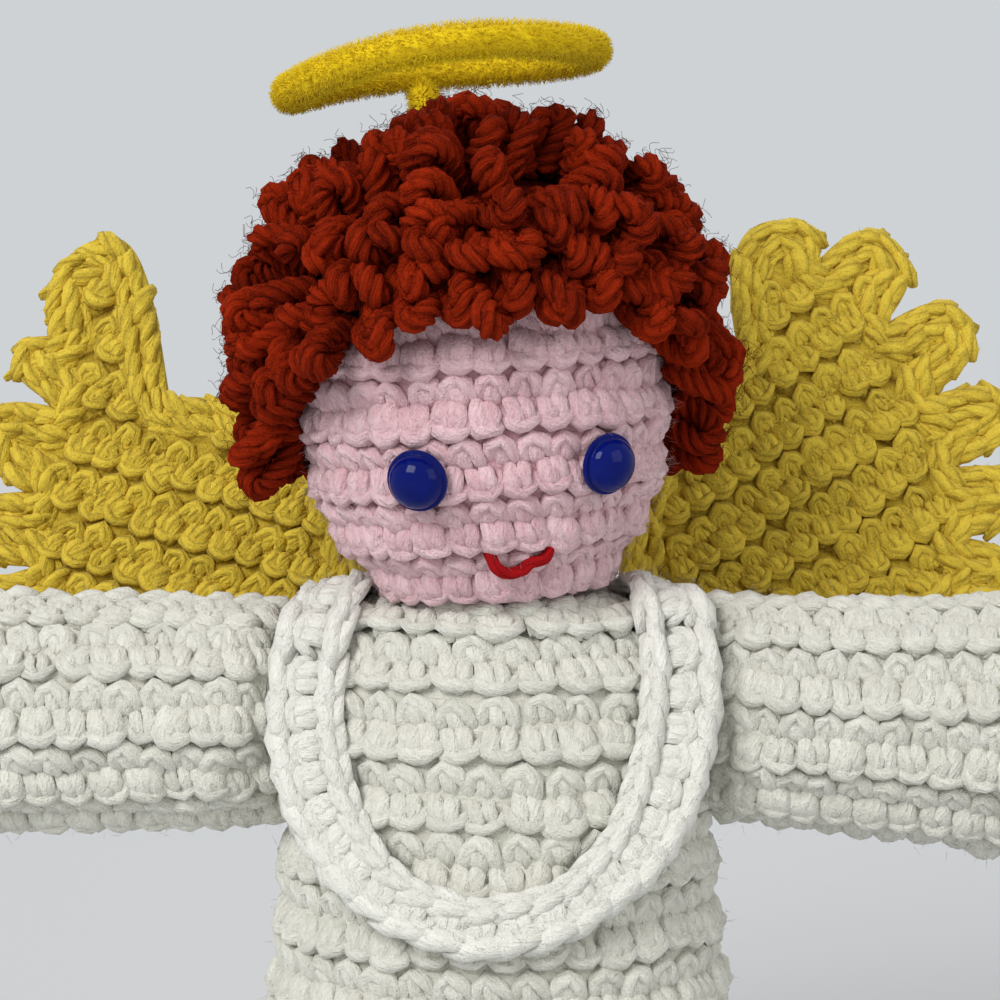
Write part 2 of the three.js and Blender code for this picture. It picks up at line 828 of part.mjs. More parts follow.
place("head_cover", headCover, paint(pink, 0.95), skull);
place("head_stuffing", headStuffing, paint(filling, 1), skull);
for (const [i, name] of ["left", "right"].entries()) {
  place(`${name}_eye`, eyes[i][0], paint(0x0b2f95, 0.12), skull);
  place(`${name}_eye_washer`, eyes[i][1], paint(0xe8e8e8, 0.4), skull);
}
place("mouth_yarn", mouth, paint(0xc1161d, 0.9), skull);
place("hair_crown", hairCrown().subtract(stemPocket), paint(rust, 0.95), skull);
for (let row = 0; row < hairRows; row++) {
  place(`hair_row_${row + 1}`, hairRow(row).subtract(stemPocket), paint(rust, 0.95), skull);
}
place("halo_stem", haloStem, paint(0xe0bb16, 0.9), skull);
place("halo_ring", haloRing, paint(0xe0bb16, 0.9), skull);

export default group;
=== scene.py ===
import math
import bpy
import numpy as np
from mathutils import Matrix, Vector
from mathutils.bvhtree import BVHTree


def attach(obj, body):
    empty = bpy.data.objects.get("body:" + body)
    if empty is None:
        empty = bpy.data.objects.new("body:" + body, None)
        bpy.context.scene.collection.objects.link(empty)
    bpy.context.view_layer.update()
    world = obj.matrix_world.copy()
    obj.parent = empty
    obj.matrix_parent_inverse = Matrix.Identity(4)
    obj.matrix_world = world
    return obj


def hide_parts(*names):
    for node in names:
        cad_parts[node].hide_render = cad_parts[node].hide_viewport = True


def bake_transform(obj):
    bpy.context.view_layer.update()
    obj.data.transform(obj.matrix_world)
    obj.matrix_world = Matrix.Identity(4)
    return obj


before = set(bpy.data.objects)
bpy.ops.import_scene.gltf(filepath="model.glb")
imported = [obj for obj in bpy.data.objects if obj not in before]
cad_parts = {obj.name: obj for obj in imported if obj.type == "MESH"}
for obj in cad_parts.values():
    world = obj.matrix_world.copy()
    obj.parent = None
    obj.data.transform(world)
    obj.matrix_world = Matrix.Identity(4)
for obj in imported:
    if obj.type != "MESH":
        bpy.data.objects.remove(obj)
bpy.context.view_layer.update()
bpy.ops.object.select_all(action="DESELECT")
mm = 0.001
dice = np.random.default_rng(20)  # one seed, so every run gives the same doll
print("frame loaded")

# Camera at the photographed angle
photoView = {"aim": (0.0003, 0, 0.168), "distance": 0.4, "pitch": 5, "lens": 83.2}

pitch = math.radians(photoView["pitch"])
aim = Vector(photoView["aim"])
back = Vector((0, -math.cos(pitch), math.sin(pitch))) * photoView["distance"]
bpy.ops.object.camera_add(location=aim + back, rotation=(math.pi / 2 - pitch, 0, 0))
camera = bpy.context.object
camera.data.lens = photoView["lens"]
camera.data.clip_start = 0.01
bpy.context.scene.camera = camera
bpy.context.scene.view_settings.view_transform = "Standard"
print("camera set")


class Wire:  # a shader socket that takes part in sums
    def __init__(self, tree, socket):
        self.tree = tree
        self.socket = socket

    def math(self, operation, *others):
        node = self.tree.nodes.new("ShaderNodeMath")
        node.operation = operation
        for slot, value in zip(node.inputs, others):
            plug(self.tree, slot, value)
        return Wire(self.tree, node.outputs[0])

    def also(self, name):  # another output of the same node
        return Wire(self.tree, self.socket.node.outputs[name])

    def __add__(self, other):
        return self.math("ADD", self, other)

    __radd__ = __add__

    def __mul__(self, other):
        return self.math("MULTIPLY", self, other)

    __rmul__ = __mul__

    def __sub__(self, other):
        return self.math("SUBTRACT", self, other)

    def __rsub__(self, other):
        return self.math("SUBTRACT", other, self)

    def __pow__(self, other):
        return self.math("POWER", self, other)

    def sine(self):
        return self.math("SINE", self)

    def least(self, other):
        return self.math("MINIMUM", self, other)

    def most(self, other):
        return self.math("MAXIMUM", self, other)


def plug(tree, slot, value):
    if isinstance(value, Wire):
        tree.links.new(value.socket, slot)
    else:
        slot.default_value = value


class Finish:  # the nodes of one material or world
    def __init__(self, tree):
        self.tree = tree

    def node(self, kind, settings=None, inputs=None, output=0):
        made = self.tree.nodes.new("ShaderNode" + kind)
        for key, value in (settings or {}).items():
            setattr(made, key, value)
        for key, value in (inputs or {}).items():
            plug(self.tree, made.inputs[key], value)
        return Wire(self.tree, made.outputs[output])

    def mix(self, share, low, high):
        return self.node("Mix", {"data_type": "RGBA"}, {0: share, 6: low, 7: high}, 2)

    def feed(self, socket, value):  # into the material's own shader
        plug(self.tree, self.shader.inputs[socket], value)


def newFinish(name, sockets):
    material = bpy.data.materials.new(name)
    material.use_nodes = True
    finish = Finish(material.node_tree)
    finish.material = material
    finish.shader = material.node_tree.nodes["Principled BSDF"]
    for key, value in sockets.items():
        finish.feed(key, value)
    return finish


def tone(red, green, blue):  # a screen colour as light
    return tuple(((c / 255 + 0.055) / 1.055) ** 2.4 for c in (red, green, blue)) + (1,)


# Studio: soft lamps, pale backdrop and floor
studio = {
    "lamps": {
        "keyLamp": {"place": (-0.6, -0.82, 0.86), "size": 0.6, "power": 10.6},
        "fillLamp": {"place": (0.9, -0.7, 0.6), "size": 0.8, "power": 2.9},
        "backLamp": {"place": (0.1, 0.9, 0.9), "size": 0.8, "power": 5},
    },
    "ambient": 0.45,
    "backdrop": tone(206, 210, 213),
    "floorSize": 6,
    "floorDark": tone(196, 198, 200),
    "floorLight": tone(214, 216, 218),
    "fadeStart": 0.35,  # how far from the doll the floor starts to run into the backdrop
    "fadeRate": 1.1,
}
black = (0, 0, 0, 1)

for name, lamp in studio["lamps"].items():
    bpy.ops.object.light_add(type="AREA", location=lamp["place"])
    light = bpy.context.object
    light.name = name
    light.data.size = lamp["size"]
    light.data.energy = lamp["power"]
    light.rotation_euler = (aim - light.location).to_track_quat("-Z", "Y").to_euler()

world = bpy.data.worlds.new("studioWorld")
bpy.context.scene.world = world
world.use_nodes = True
sky = Finish(world.node_tree)
rays = sky.node("LightPath")
seen = rays + rays.also("Is Glossy Ray") + rays.also("Is Transmission Ray")
roomLight = sky.node("Background", None, {"Color": (1, 1, 1, 1), "Strength": studio["ambient"]})
roomView = sky.node("Background", None, {"Color": studio["backdrop"], "Strength": 1})
roomMix = sky.node("MixShader", None, {0: seen.least(1.0), 1: roomLight, 2: roomView})
plug(sky.tree, sky.tree.nodes["World Output"].inputs["Surface"], roomMix)

bpy.ops.mesh.primitive_plane_add(size=studio["floorSize"])
floor = bpy.context.object
floor.name = "studioFloor"
floorPaint = newFinish("floorPaint", {"Roughness": 0.9, "Specular IOR Level": 0.0, "Emission Strength": 1.0})
floorGrain = floorPaint.node("TexNoise", None, {"Scale": 9.0, "Detail": 2.0})
floorAt = floorPaint.node("TexCoord", None, None, "Object")
away = floorPaint.node("VectorMath", {"operation": "LENGTH"}, {0: floorAt}, "Value")
away = ((away - studio["fadeStart"]) * studio["fadeRate"]).most(0.0).least(1.0)
near = floorPaint.mix(floorGrain * 0.04 + 0.48, studio["floorDark"], studio["floorLight"])
floorPaint.feed("Base Color", floorPaint.mix(away, near, black))
floorPaint.feed("Emission Color", floorPaint.mix(away, black, studio["backdrop"]))
floor.data.materials.append(floorPaint.material)
print("studio lit")


# Yarn finishes: plies wound round each strand, with fine fibres along them
def yarnFinish(name, look):
    finish = newFinish(name, {
        "Roughness": look["roughness"],
        "Sheen Weight": look["sheen"],
        "Sheen Roughness": 0.5,
        "Specular IOR Level": look["gloss"],
    })
    strand = finish.node("UVMap", {"uv_map": "strand"})
    across = finish.node("SeparateXYZ", None, {0: strand})
    along = across.also("Y")
    # Per-vertex value: random tone for each strand, and negative on the backings, where it paints shade
    # between the stitches
    toneAndShade = finish.node("Attribute", {"attribute_name": "toneAndShade"}, None, "Fac")
    wound = across * look["plies"] + along * (1 / look["pitch"])
    wave = (wound * math.pi).sine()
    groove = wave.math("ABSOLUTE", wave) ** 0.5  # deep between the plies
    fibreAt = finish.node("CombineXYZ", None, {
        0: wound * (look["fibres"] / look["plies"]),
        1: along * 0.45,
        2: toneAndShade * 60,
    })
    fibre = finish.node("TexNoise", None, {
        "Vector": fibreAt, "Scale": 1.0, "Detail": 3.0, "Roughness": 0.65})
    place = finish.node("TexCoord", None, None, "Object")
    fluff = finish.node("TexNoise", None, {
        "Vector": place, "Scale": 2300.0, "Detail": 2.0, "Roughness": 0.6})
    # Painted shade: the colour darkens between the plies (groove) and on the backings, whose negative value
    # picks the deep tone; fibre streaks, fluff and the random per-strand part are the yarn's own tone
    shade = ((fibre - 0.5) * look["streak"] + (fluff - 0.5) * look["fluff"] + groove * look["groove"]
             + toneAndShade * look["vary"] + look["level"])
    colour = finish.mix(shade.most(0.0).least(1.0), look["deep"], look["light"])
    height = groove * look["groove"] + fibre * look["strands"] + fluff * look["fluff"] * 1.4
    bump = finish.node("Bump", None, {
        "Strength": look["bump"], "Distance": 0.0005, "Height": height})
    finish.feed("Base Color", colour)
    finish.feed("Normal", bump)
    return finish.material


yarnBase = {
    "roughness": 0.95, "sheen": 0.5, "gloss": 0.2,
    "plies": 3, "pitch": 6.5, "relief": 0.2, "fibres": 13,  # how the yarn is spun, pitch in mm
    # groove: painted shade between the plies, and their bump; vary: random tone per strand, and the backings'
    # painted shade
    "strands": 1.7, "streak": 0.9, "fluff": 0.6, "groove": 0.2, "vary": 0.2, "level": 0.45, "bump": 0.85,
}
yarns = {
    "white": {"light": tone(238, 237, 226), "deep": tone(184, 182, 166)},
    "snow": {"light": tone(246, 245, 236), "deep": tone(206, 205, 194)},
    "pink": {"light": tone(241, 208, 213), "deep": tone(184, 124, 133), "sheen": 0.3},
    "gold": {"light": tone(236, 206, 70), "deep": tone(120, 91, 12), "groove": 0.6, "level": 0.27,
             "fluff": 0.7, "sheen": 0.05},
    "rust": {"light": tone(168, 45, 14), "deep": tone(46, 4, 1), "plies": 4, "pitch": 2.2, "relief": 0.45,
             "fibres": 44, "strands": 2.2, "streak": 1.5, "groove": 0.45, "level": 0.12, "vary": 0.4,
             "sheen": 0.0, "gloss": 0.04},
    "red": {"light": tone(166, 22, 27), "deep": tone(100, 7, 11), "groove": 0.6, "sheen": 0.0, "gloss": 0.05},
    "yellow": {"light": tone(244, 216, 28), "deep": tone(192, 154, 6), "bump": 0.2, "sheen": 0.05},
}
yarns = {name: {**yarnBase, **look} for name, look in yarns.items()}
finishes = {name: yarnFinish(name + "Yarn", look) for name, look in yarns.items()}
print("yarns dyed")


# Strand geometry, worked in millimetres
def unit(vectors):
    return vectors / np.maximum(np.linalg.norm(vectors, axis=-1, keepdims=True), 1e-9)


def spline(knots, shares):  # centripetal curve through the knots
    knots = np.asarray(knots, float)
    ends = np.vstack([2 * knots[0] - knots[1], knots, 2 * knots[-1] - knots[-2]])
    at = np.clip(np.asarray(shares, float), 0, 1) * (len(knots) - 1)
    cell = np.minimum(at.astype(int), len(knots) - 2)
    t = (at - cell)[:, None]
    a, b, c, d = (ends[cell + i] for i in range(4))
    ab, bc, cd = (np.maximum(np.linalg.norm(q - p, axis=1, keepdims=True), 1e-6) ** 0.5
                  for p, q in ((a, b), (b, c), (c, d)))
    m1 = ((b - a) / ab - (c - a) / (ab + bc) + (c - b) / bc) * bc
    m2 = ((c - b) / bc - (d - b) / (bc + cd) + (d - c) / cd) * bc
    return b + m1 * t + (3 * (c - b) - 2 * m1 - m2) * t**2 + (2 * (b - c) + m1 + m2) * t**3


def ramp(value, start, end):  # from 0 at the start to 1 at the end
    return np.clip((value - start) / (end - start), 0, 1)


def evenly(points, gap, closed=False):  # the same line with its points a gap apart
    points = np.asarray(points, float)
    if closed:
        points = np.vstack([points, points[:1]])
    run = np.r_[0, np.cumsum(np.linalg.norm(np.diff(points, axis=0), axis=1))]
    count = max(3, round(run[-1] / gap))
    at = np.linspace(0, run[-1], count, endpoint=False) if closed else np.linspace(0, run[-1], count + 1)
    return np.stack([np.interp(at, run, points[:, k]) for k in range(points.shape[1])], 1)


def lidDisc(sides):  # where the end of a strand or form lies in its patch of the bake map
    turn = np.arange(sides) * 2 * np.pi / sides
    return 0.035 * np.stack([np.cos(turn), np.sin(turn)], 1) + (0, 0.037)


# Closed strands, with the plies that a look gives; fine fibres share one patch of the bake map
def tubes(paths, radii, sides, facing, tonesAndShade, fine=False, look=None):
    count, steps = paths.shape[:2]
    radii = np.broadcast_to(radii, (count, steps))
    facing = np.broadcast_to(facing if facing.ndim == 3 else facing[:, None], paths.shape)
    along = unit(np.gradient(paths, axis=1))
    side = unit(np.cross(along, facing))
    top = np.cross(side, along)
    run = np.linalg.norm(np.diff(paths, axis=1), axis=2).cumsum(1)
    run = np.concatenate([np.zeros((count, 1)), run], 1)
    wind = run / (look["plies"] * look["pitch"]) if look else 0 * run
    lobe = np.abs(np.sin(np.pi * np.arange(sides) * (look["plies"] / sides if look else 0)))
    swell = 1 + (look["relief"] if look else 0) * (lobe - 0.6)
    angle = 2 * np.pi * (np.arange(sides) / sides - wind[..., None])[..., None]
    ring = side[:, :, None] * np.sin(angle) - top[:, :, None] * np.cos(angle)
    verts = paths[:, :, None] + ring * (radii[:, :, None] * swell)[..., None]
    p, k = (g.ravel() for g in np.meshgrid(np.arange(steps - 1), np.arange(sides), indexing="ij"))
    n = (k + 1) % sides
    first = (np.arange(count) * steps * sides)[:, None, None]
    quads = first + np.stack([p * sides + k, (p + 1) * sides + k, (p + 1) * sides + n, p * sides + n], -1)
    u = np.stack([k, k, k + 1, k + 1], -1) / sides
    step = np.stack([p, p + 1, p + 1, p], -1)
    strandUv = np.stack([u - wind[:, step], run[:, step]], -1)
    local = np.broadcast_to(np.stack([u, 0.08 + 0.92 * step / (steps - 1)], -1), strandUv.shape)
    own = np.zeros(count, int) if fine else np.arange(count)
    cell = np.repeat(own, len(p))
    faces = [(quads.reshape(-1, 4), strandUv.reshape(-1, 4, 2), local.reshape(-1, 4, 2), cell)]
    around = np.arange(sides)
    disc = lidDisc(sides)
    for end, order in ((0, around), (steps - 1, around[::-1])):
        lids = first[:, 0] + end * sides + order
        lidUv = np.stack([order / sides - wind[:, [end]], np.repeat(run[:, [end]], sides, 1)], -1)
        spot = np.broadcast_to(disc[order] + (0.25 if end == 0 else 0.75, 0), lids.shape + (2,))
        faces.append((lids, lidUv, spot, own))
    toneAndShade = np.repeat(np.broadcast_to(tonesAndShade, count), steps * sides)
    return {"verts": verts.reshape(-1, 3), "faces": faces, "toneAndShade": toneAndShade, "cells": 1 if fine else count}


# Backing forms: the negative default paints them in the deep tone, as painted shade in the gaps between
# stitches
def shell(rings, toneAndShade=-0.6):  # closed form through rings that run round it, from foot to top
    rows, sides = rings.shape[:2]
    r, c = (g.ravel() for g in np.meshgrid(np.arange(rows - 1), np.arange(sides), indexing="ij"))
    n = (c + 1) % sides
    quads = np.stack([r * sides + c, r * sides + n, (r + 1) * sides + n, (r + 1) * sides + c], -1)
    u = np.stack([c, c + 1, c + 1, c], -1) / sides
    v = np.stack([r, r, r + 1, r + 1], -1) / (rows - 1)
    length = np.linalg.norm(np.diff(rings[:, 0], axis=0), axis=1).sum()
    local = np.stack([u, 0.08 + 0.92 * v], -1)
    faces = [(quads, np.stack([u, v * length], -1), local, np.zeros(len(quads), int))]
    disc = lidDisc(sides)
    for row, order in ((0, np.arange(sides)[::-1]), (rows - 1, np.arange(sides))):
        spot = disc[order] + (0.25 if row == 0 else 0.75, 0)
        faces.append(((row * sides + order)[None], spot[None], spot[None], np.zeros(1, int)))
    return {"verts": rings.reshape(-1, 3), "faces": faces, "toneAndShade": np.full(rows * sides, toneAndShade), "cells": 1}


def weave(name, patches, finish):  # one mesh object from its strands and forms
    verts = np.concatenate([p["verts"] for p in patches]) * mm
    tonesAndShade = np.concatenate([p["toneAndShade"] for p in patches])
    grid = math.ceil(math.sqrt(sum(p["cells"] for p in patches)))
    corners, sizes, strandUv, bakeUv = [], [], [], []
    vertBase = cellBase = 0
    for p in patches:
        for index, uv, local, cell in p["faces"]:
            corners.append((index + vertBase).ravel())
            sizes.append(np.full(len(index), index.shape[1]))
            strandUv.append(uv.reshape(-1, 2))
            square = np.stack([(cell + cellBase) % grid, (cell + cellBase) // grid], -1)[:, None]
            bakeUv.append(((square + 0.03 + 0.94 * local) / grid).reshape(-1, 2))
        vertBase += len(p["verts"])
        cellBase += p["cells"]
    sizes = np.concatenate(sizes)
    mesh = bpy.data.meshes.new(name)
    mesh.vertices.add(len(verts))
    mesh.vertices.foreach_set("co", verts.ravel())
    corners = np.concatenate(corners)
    mesh.loops.add(len(corners))
    mesh.loops.foreach_set("vertex_index", corners)
    mesh.polygons.add(len(sizes))
    mesh.polygons.foreach_set("loop_start", np.r_[0, sizes.cumsum()[:-1]])
    mesh.polygons.foreach_set("use_smooth", np.ones(len(sizes), bool))
    mesh.update(calc_edges=True)
    for mapName, uv in (("strand", strandUv), ("OFBake", bakeUv)):
        layer = mesh.uv_layers.new(name=mapName)
        layer.data.foreach_set("uv", np.concatenate(uv).ravel())
    mesh.attributes.new("toneAndShade", "FLOAT", "POINT").data.foreach_set("value", tonesAndShade)
    mesh.validate()
    mesh.materials.append(finish)
    piece = bpy.data.objects.new(name, mesh)
    bpy.context.scene.collection.objects.link(piece)
    print(name, len(sizes), "faces")
    return piece


class Form:  # a round form: half width, half depth and height along its run, then turned and set down
    def __init__(self, table, turn=np.eye(3), foot=(0, 0, 0)):
        self.table = np.asarray(table, float)
        self.run = np.r_[0, np.linalg.norm(np.diff(self.table[:, [0, 2]], axis=0), axis=1).cumsum()]
        self.turn = np.asarray(turn, float)
        self.foot = np.asarray(foot, float)

    def place(self, azimuth, run, lift=0.0):
        azimuth, run = np.broadcast_arrays(np.asarray(azimuth, float), np.asarray(run, float))
        wide, deep, high = (np.interp(run, self.run, self.table[:, k]) for k in range(3))
        spot = np.stack([wide * np.cos(azimuth), deep * np.sin(azimuth), high], -1)
        spot = spot @ self.turn.T + self.foot
        return spot + lift * self.spots(azimuth, run)["out"] if lift else spot

    def spots(self, azimuth, run):
        right = self.place(azimuth + 0.01, run) - self.place(azimuth - 0.01, run)
        rise = self.place(azimuth, run + 0.5) - self.place(azimuth, run - 0.5)
        out = unit(np.cross(right, rise))
        girth = np.linalg.norm(right, axis=-1) / 0.02
        right = unit(right)
        return {"centre": self.place(azimuth, run), "right": right, "up": np.cross(out, right),
                "out": out, "girth": girth}

    def rings(self, first, last, lift, rows=40, sides=48):
        azimuth = np.arange(sides) * 2 * np.pi / sides
        runs = np.linspace(first, last, rows)
        return np.stack([self.place(azimuth, np.full(sides, run), lift) for run in runs])


def gather(spots):
    return {key: np.concatenate([s[key] for s in spots]) for key in spots[0]}


def keep(spots, mask):
    return {key: value[mask] for key, value in spots.items()}


def ringRows(form, first, last, wide, tall):  # rows that go round a form
    rows = max(1, round((last - first) / tall))
    found = []
    for row in range(rows):
        run = first + (row + 0.5) * (last - first) / rows
        girth = form.spots(np.linspace(0, 6.2, 32), np.full(32, run))["girth"].mean() * 2 * np.pi
        count = max(6, round(girth / wide))
        azimuth = 2 * np.pi * (np.arange(count) + 0.31 * row) / count
        spots = form.spots(azimuth, np.full(count, run))
        spots["wide"] = spots.pop("girth") * 2 * np.pi / count
        spots["tall"] = np.full(count, (last - first) / rows)
        spots["kind"] = np.full(count, rowKinds[row % 2])
        found.append(spots)
    return gather(found)


def lengthRows(form, first, last, wide, rows, flip):  # rows that run along a form
    count = max(2, round((last - first) / wide))
    found = []
    for row in range(rows):
        share = (np.arange(count) + 0.25 + 0.5 * (row % 2)) / count
        spots = form.spots(np.full(count, 2 * np.pi * (row + 0.5) / rows), first + share * (last - first))
        spots["tall"] = spots.pop("girth") * 2 * np.pi / rows
        spots["right"], spots["up"] = spots["up"] * flip, spots["right"] * -flip
        spots["wide"] = np.full(count, (last - first) / count)
        spots["kind"] = np.full(count, rowKinds[row % 2])
        found.append(spots)
    return gather(found)


# Strands of one stitch: across and up as shares of its cell, height off the form and radius in mm
stitchKinds = [
    [  # cup: two plump legs that lean together, held in a round loop
        [(-0.32, 0.6, -1.2, 1.0), (-0.27, 0.4, 0.5, 1.6), (-0.22, 0.2, 1.1, 1.85),
         (-0.17, 0, 1.3, 1.95), (-0.12, -0.2, 1, 1.8), (-0.06, -0.46, -0.2, 1.2)],
        [(0.12, 0.62, -1.2, 1.0), (0.13, 0.42, 0.4, 1.6), (0.15, 0.2, 1.1, 1.85),
         (0.17, 0, 1.2, 1.9), (0.17, -0.2, 0.9, 1.75), (0.14, -0.46, -0.2, 1.2)],
        [(-0.56, 0.26, -0.8, 0.9), (-0.49, 0.02, 0.6, 1.15), (-0.36, -0.19, 1.6, 1.35),
         (-0.13, -0.33, 2.1, 1.45), (0.13, -0.33, 2.1, 1.45), (0.36, -0.19, 1.6, 1.35),
         (0.49, 0.02, 0.6, 1.15), (0.56, 0.26, -0.8, 0.9)],
    ],
    [  # slant: an arch that leans, with a strand inside it
        [(-0.34, -0.62, -0.9, 0.9), (-0.42, -0.22, 0.5, 1.3), (-0.37, 0.12, 1.2, 1.45),
         (-0.12, 0.3, 1.5, 1.5), (0.16, 0.1, 1.4, 1.45), (0.32, -0.23, 0.7, 1.3), (0.38, -0.6, -0.9, 0.8)],
        [(-0.2, 0.4, 0, 1.2), (-0.15, 0.08, 0.8, 1.5), (-0.04, -0.24, 0.8, 1.5), (0.05, -0.58, -0.5, 1.1)],
    ],
    [  # rope: long leaves laid over one another along an edge
        [(-0.95, -0.3, -0.4, 1.1), (-0.45, -0.14, 1.1, 1.7), (0, 0.02, 1.6, 1.95),
         (0.45, 0.16, 1.2, 1.7), (0.95, 0.3, -0.4, 1.1)],
        [(-0.8, 0.5, -0.6, 0.9), (-0.25, 0.5, 0.4, 1.5), (0.25, 0.42, 0.5, 1.5), (0.8, 0.2, -0.5, 0.9)],
    ],
]
cup, slant, rope = range(3)
rowKinds = (cup, slant)  # row after row
rowLifts = (0.2, -0.05, 0)  # the rows of cups stand out a little
strandSides = 6


def fuzz(anchors, out, count, long):  # short loose fibres standing off a fabric
    at = dice.integers(0, len(anchors), count)
    lift = unit(out[at] * 0.8 + dice.normal(0, 0.5, (count, 3)))
    bow = unit(dice.normal(0, 1, (count, 3)))
    reach = long * dice.uniform(0.5, 1.4, (count, 1))
    start = anchors[at] + dice.normal(0, 0.5, (count, 3))
    path = np.stack([start, start + (lift + bow * 0.4) * reach], 1)
    return tubes(path, np.array((0.035, 0.015)), 3, np.cross(lift, bow), 1.0, True)


def crochet(spots, lift, yarn=1.0, loose=0.14, hairs=2):  # every stitch of a fabric, on the spots given
    patches = []
    tops, ways = [], []
    for kind, strands in enumerate(stitchKinds):
        s = keep(spots, spots["kind"] == kind)
        count = len(s["centre"])
        if not count:
            continue
        lean = dice.normal(0, loose, count)[:, None]
        right = s["right"] * np.cos(lean) + s["up"] * np.sin(lean)
        up = s["up"] * np.cos(lean) - s["right"] * np.sin(lean)
        shift = dice.normal(0, loose * 2, (count, 1))
        centre = s["centre"] + s["out"] * (lift + yarn * rowLifts[kind]) + (right + up) * shift
        grow = 1 + dice.normal(0, loose, (count, 1))
        for strand in strands:
            shape = np.array(strand, float)
            path = (centre[:, None]
                    + right[:, None] * (shape[:, :1] * s["wide"][:, None, None])
                    + up[:, None] * (shape[:, 1:2] * s["tall"][:, None, None])
                    + s["out"][:, None] * (shape[:, 2:3] * yarn))
            path = path + dice.normal(0, loose * 1.2, path.shape)
            thick = shape[:, 3] * yarn * grow
            patches.append(tubes(path, thick, strandSides, s["out"], dice.random(count), look=yarnBase))
            tops.append((path + s["out"][:, None] * (shape[:, 3:] * yarn))[:, 1:-1].reshape(-1, 3))
            ways.append(np.repeat(s["out"], len(shape) - 2, 0))
    if hairs:
        patches.append(fuzz(np.concatenate(tops), np.concatenate(ways), hairs * len(spots["centre"]), 1.3))
    return patches


def dress(piece, body, nodes):  # where a piece belongs, and what it stands for
    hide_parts(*nodes)
    if body:
        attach(piece, body)


# Gown: rows worked round, from the hem to the neck
gown = {
    # Half width, half depth and height, from the hem up
    "profile": [(50, 42, 3.9), (44, 35, 48), (37, 27, 116), (35, 21, 141), (27, 16.5, 148.5), (13, 13, 150)],
    "stitchWide": 5.9, "rowTall": 5.6, "yarn": 0.98, "collar": 1.8,
    "form": -2.6, "cloth": 0.9,  # how far in the stitches lie, and the cloth out from there
}
arms = {
    "pivot": (54.811, 0, 131), "radius": 20, "wrist": 12.5, "reach": 46, "flat": 0.84, "hand": 18,
    "sewnEnd": [(2, -20.2), (12, -20.1), (18.6, -19.6), (19.6, -12)],  # radius, and place along the arm
    "rows": 22, "stitchWide": 5.7, "form": -2.6, "cloth": 0.9,
    "mittBulge": 1.4, "mittStitch": 5.2, "mittYarn": 0.9, "mittForm": -2.4, "mittCloth": -2.2,
    "cuff": {"left": 23, "right": 20.5}, "droop": {"left": 3.5, "right": 0},
    "seam": {"left": 35.6, "right": 37.0},  # how far out the stole keeps the front of the shoulder
    "tuck": 0.42,  # share by which the sleeve's front goes in behind the stole
}

gownForm = Form(spline(gown["profile"], np.linspace(0, 1, 240)))


def gownHalf(rise):  # the gown's half width and half depth at a height, below its neck
    lower = gownForm.table[:200]
    return (np.interp(rise, lower[:, 2], lower[:, k]) for k in (0, 1))


# Stole: where the band lies, in a U over the chest and round the neck
stole = {
    "rise": 2.6, "stitchWide": 5.6, "inner": 4.6, "edge": 6.1, "flat": 0.7, "low": 0.62, "shoulder": 2.2,
    "loose": 0.04, "hairs": 10,
    "rows": [  # how far across the band each row lies, and how it is worked
        {"offset": -3.9, "kind": rope, "tall": 3.8, "lift": 1.2, "yarn": 1.08},
        {"offset": 4.6, "kind": rope, "tall": 3.8, "lift": 1.0, "yarn": 0.88},
        {"offset": 0.3, "kind": cup, "tall": 5.4, "lift": 0.5, "yarn": 0.95},
    ],
    "path": [  # place along the gown's profile, and degrees round it
        (1.735, -94), (1.785, -73), (1.95, -52), (2.35, -40), (2.9, -34), (3.6, -23), (3.98, 0), (3.75, 36),
        (3.35, 64), (3.2, 90), (3.35, 116), (3.75, 144), (3.98, 180), (3.6, 202), (2.9, 209.5), (2.35, 214),
        (1.95, 226), (1.785, 246), (1.735, 266),
    ],
}
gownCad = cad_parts["gown_cover"].data
gownTree = BVHTree.FromPolygons([v.co for v in gownCad.vertices], [p.vertices for p in gownCad.polygons])


def onGown(points, lift):
    found = [gownTree.find_nearest(Vector(p * mm)) for p in points]
    spot = np.array([f[0] for f in found]) / mm
    out = np.array([f[1] for f in found])
    return spot + out * lift, out


stoleKnots = []
for station, azimuth in stole["path"]:
    half = spline(gown["profile"], [station / (len(gown["profile"]) - 1)])[0]
    turn = math.radians(azimuth)
    stoleKnots.append((half[0] * math.cos(turn), half[1] * math.sin(turn), half[2]))
stoleLine = evenly(spline(stoleKnots, np.linspace(0, 1, 400))[:-1], stole["stitchWide"], True)


def bandSpots(line, offset, kind, tall):  # the inner edge lies on the gown, the rest flat over the chest
    ahead = unit(np.roll(line, -1, 0) - np.roll(line, 1, 0))
    out = onGown(line, 0)[1]
    out = unit(sum(np.roll(out, k, 0) for k in (-2, -1, 0, 1, 2)))
    across = unit(np.cross(out, ahead))
    front = ramp(-line[:, 1], 2, 7)[:, None]
    out = unit(out * (1 - front * (stole["flat"], 0, 0)))
    broad = 1 - (1 - stole["low"]) * ramp(-line[:, 2], -120, -104)[:, None]  # narrower at its lowest
    inner = onGown(line + across * stole["inner"] * broad, stole["rise"] * 0.4)[0]
    laid = inner + unit(np.cross(out, ahead)) * (offset - stole["inner"]) * broad
    spot = onGown(line + across * offset * broad, stole["rise"] * 0.4)[0]
    spot = spot + (laid - spot) * front
    heap = ramp(line[:, 2], 140, 144) * ramp(-line[:, 1], -8, 0)
    spot[:, 2] += stole["shoulder"] * heap  # heaped up beside the neck
    ahead = unit(np.roll(spot, -1, 0) - np.roll(spot, 1, 0))
    up = unit(np.cross(out, ahead))
    gap = np.linalg.norm(np.roll(spot, -1, 0) - np.roll(spot, 1, 0), axis=1) / 2
    return {"centre": spot, "right": ahead, "up": up, "out": np.cross(ahead, up), "wide": gap,
            "tall": np.full(len(line), float(tall)), "kind": np.full(len(line), kind)}


stoleRows = [bandSpots(stoleLine, row["offset"], row["kind"], row["tall"]) for row in stole["rows"]]
bandMiddle = stoleRows[2]

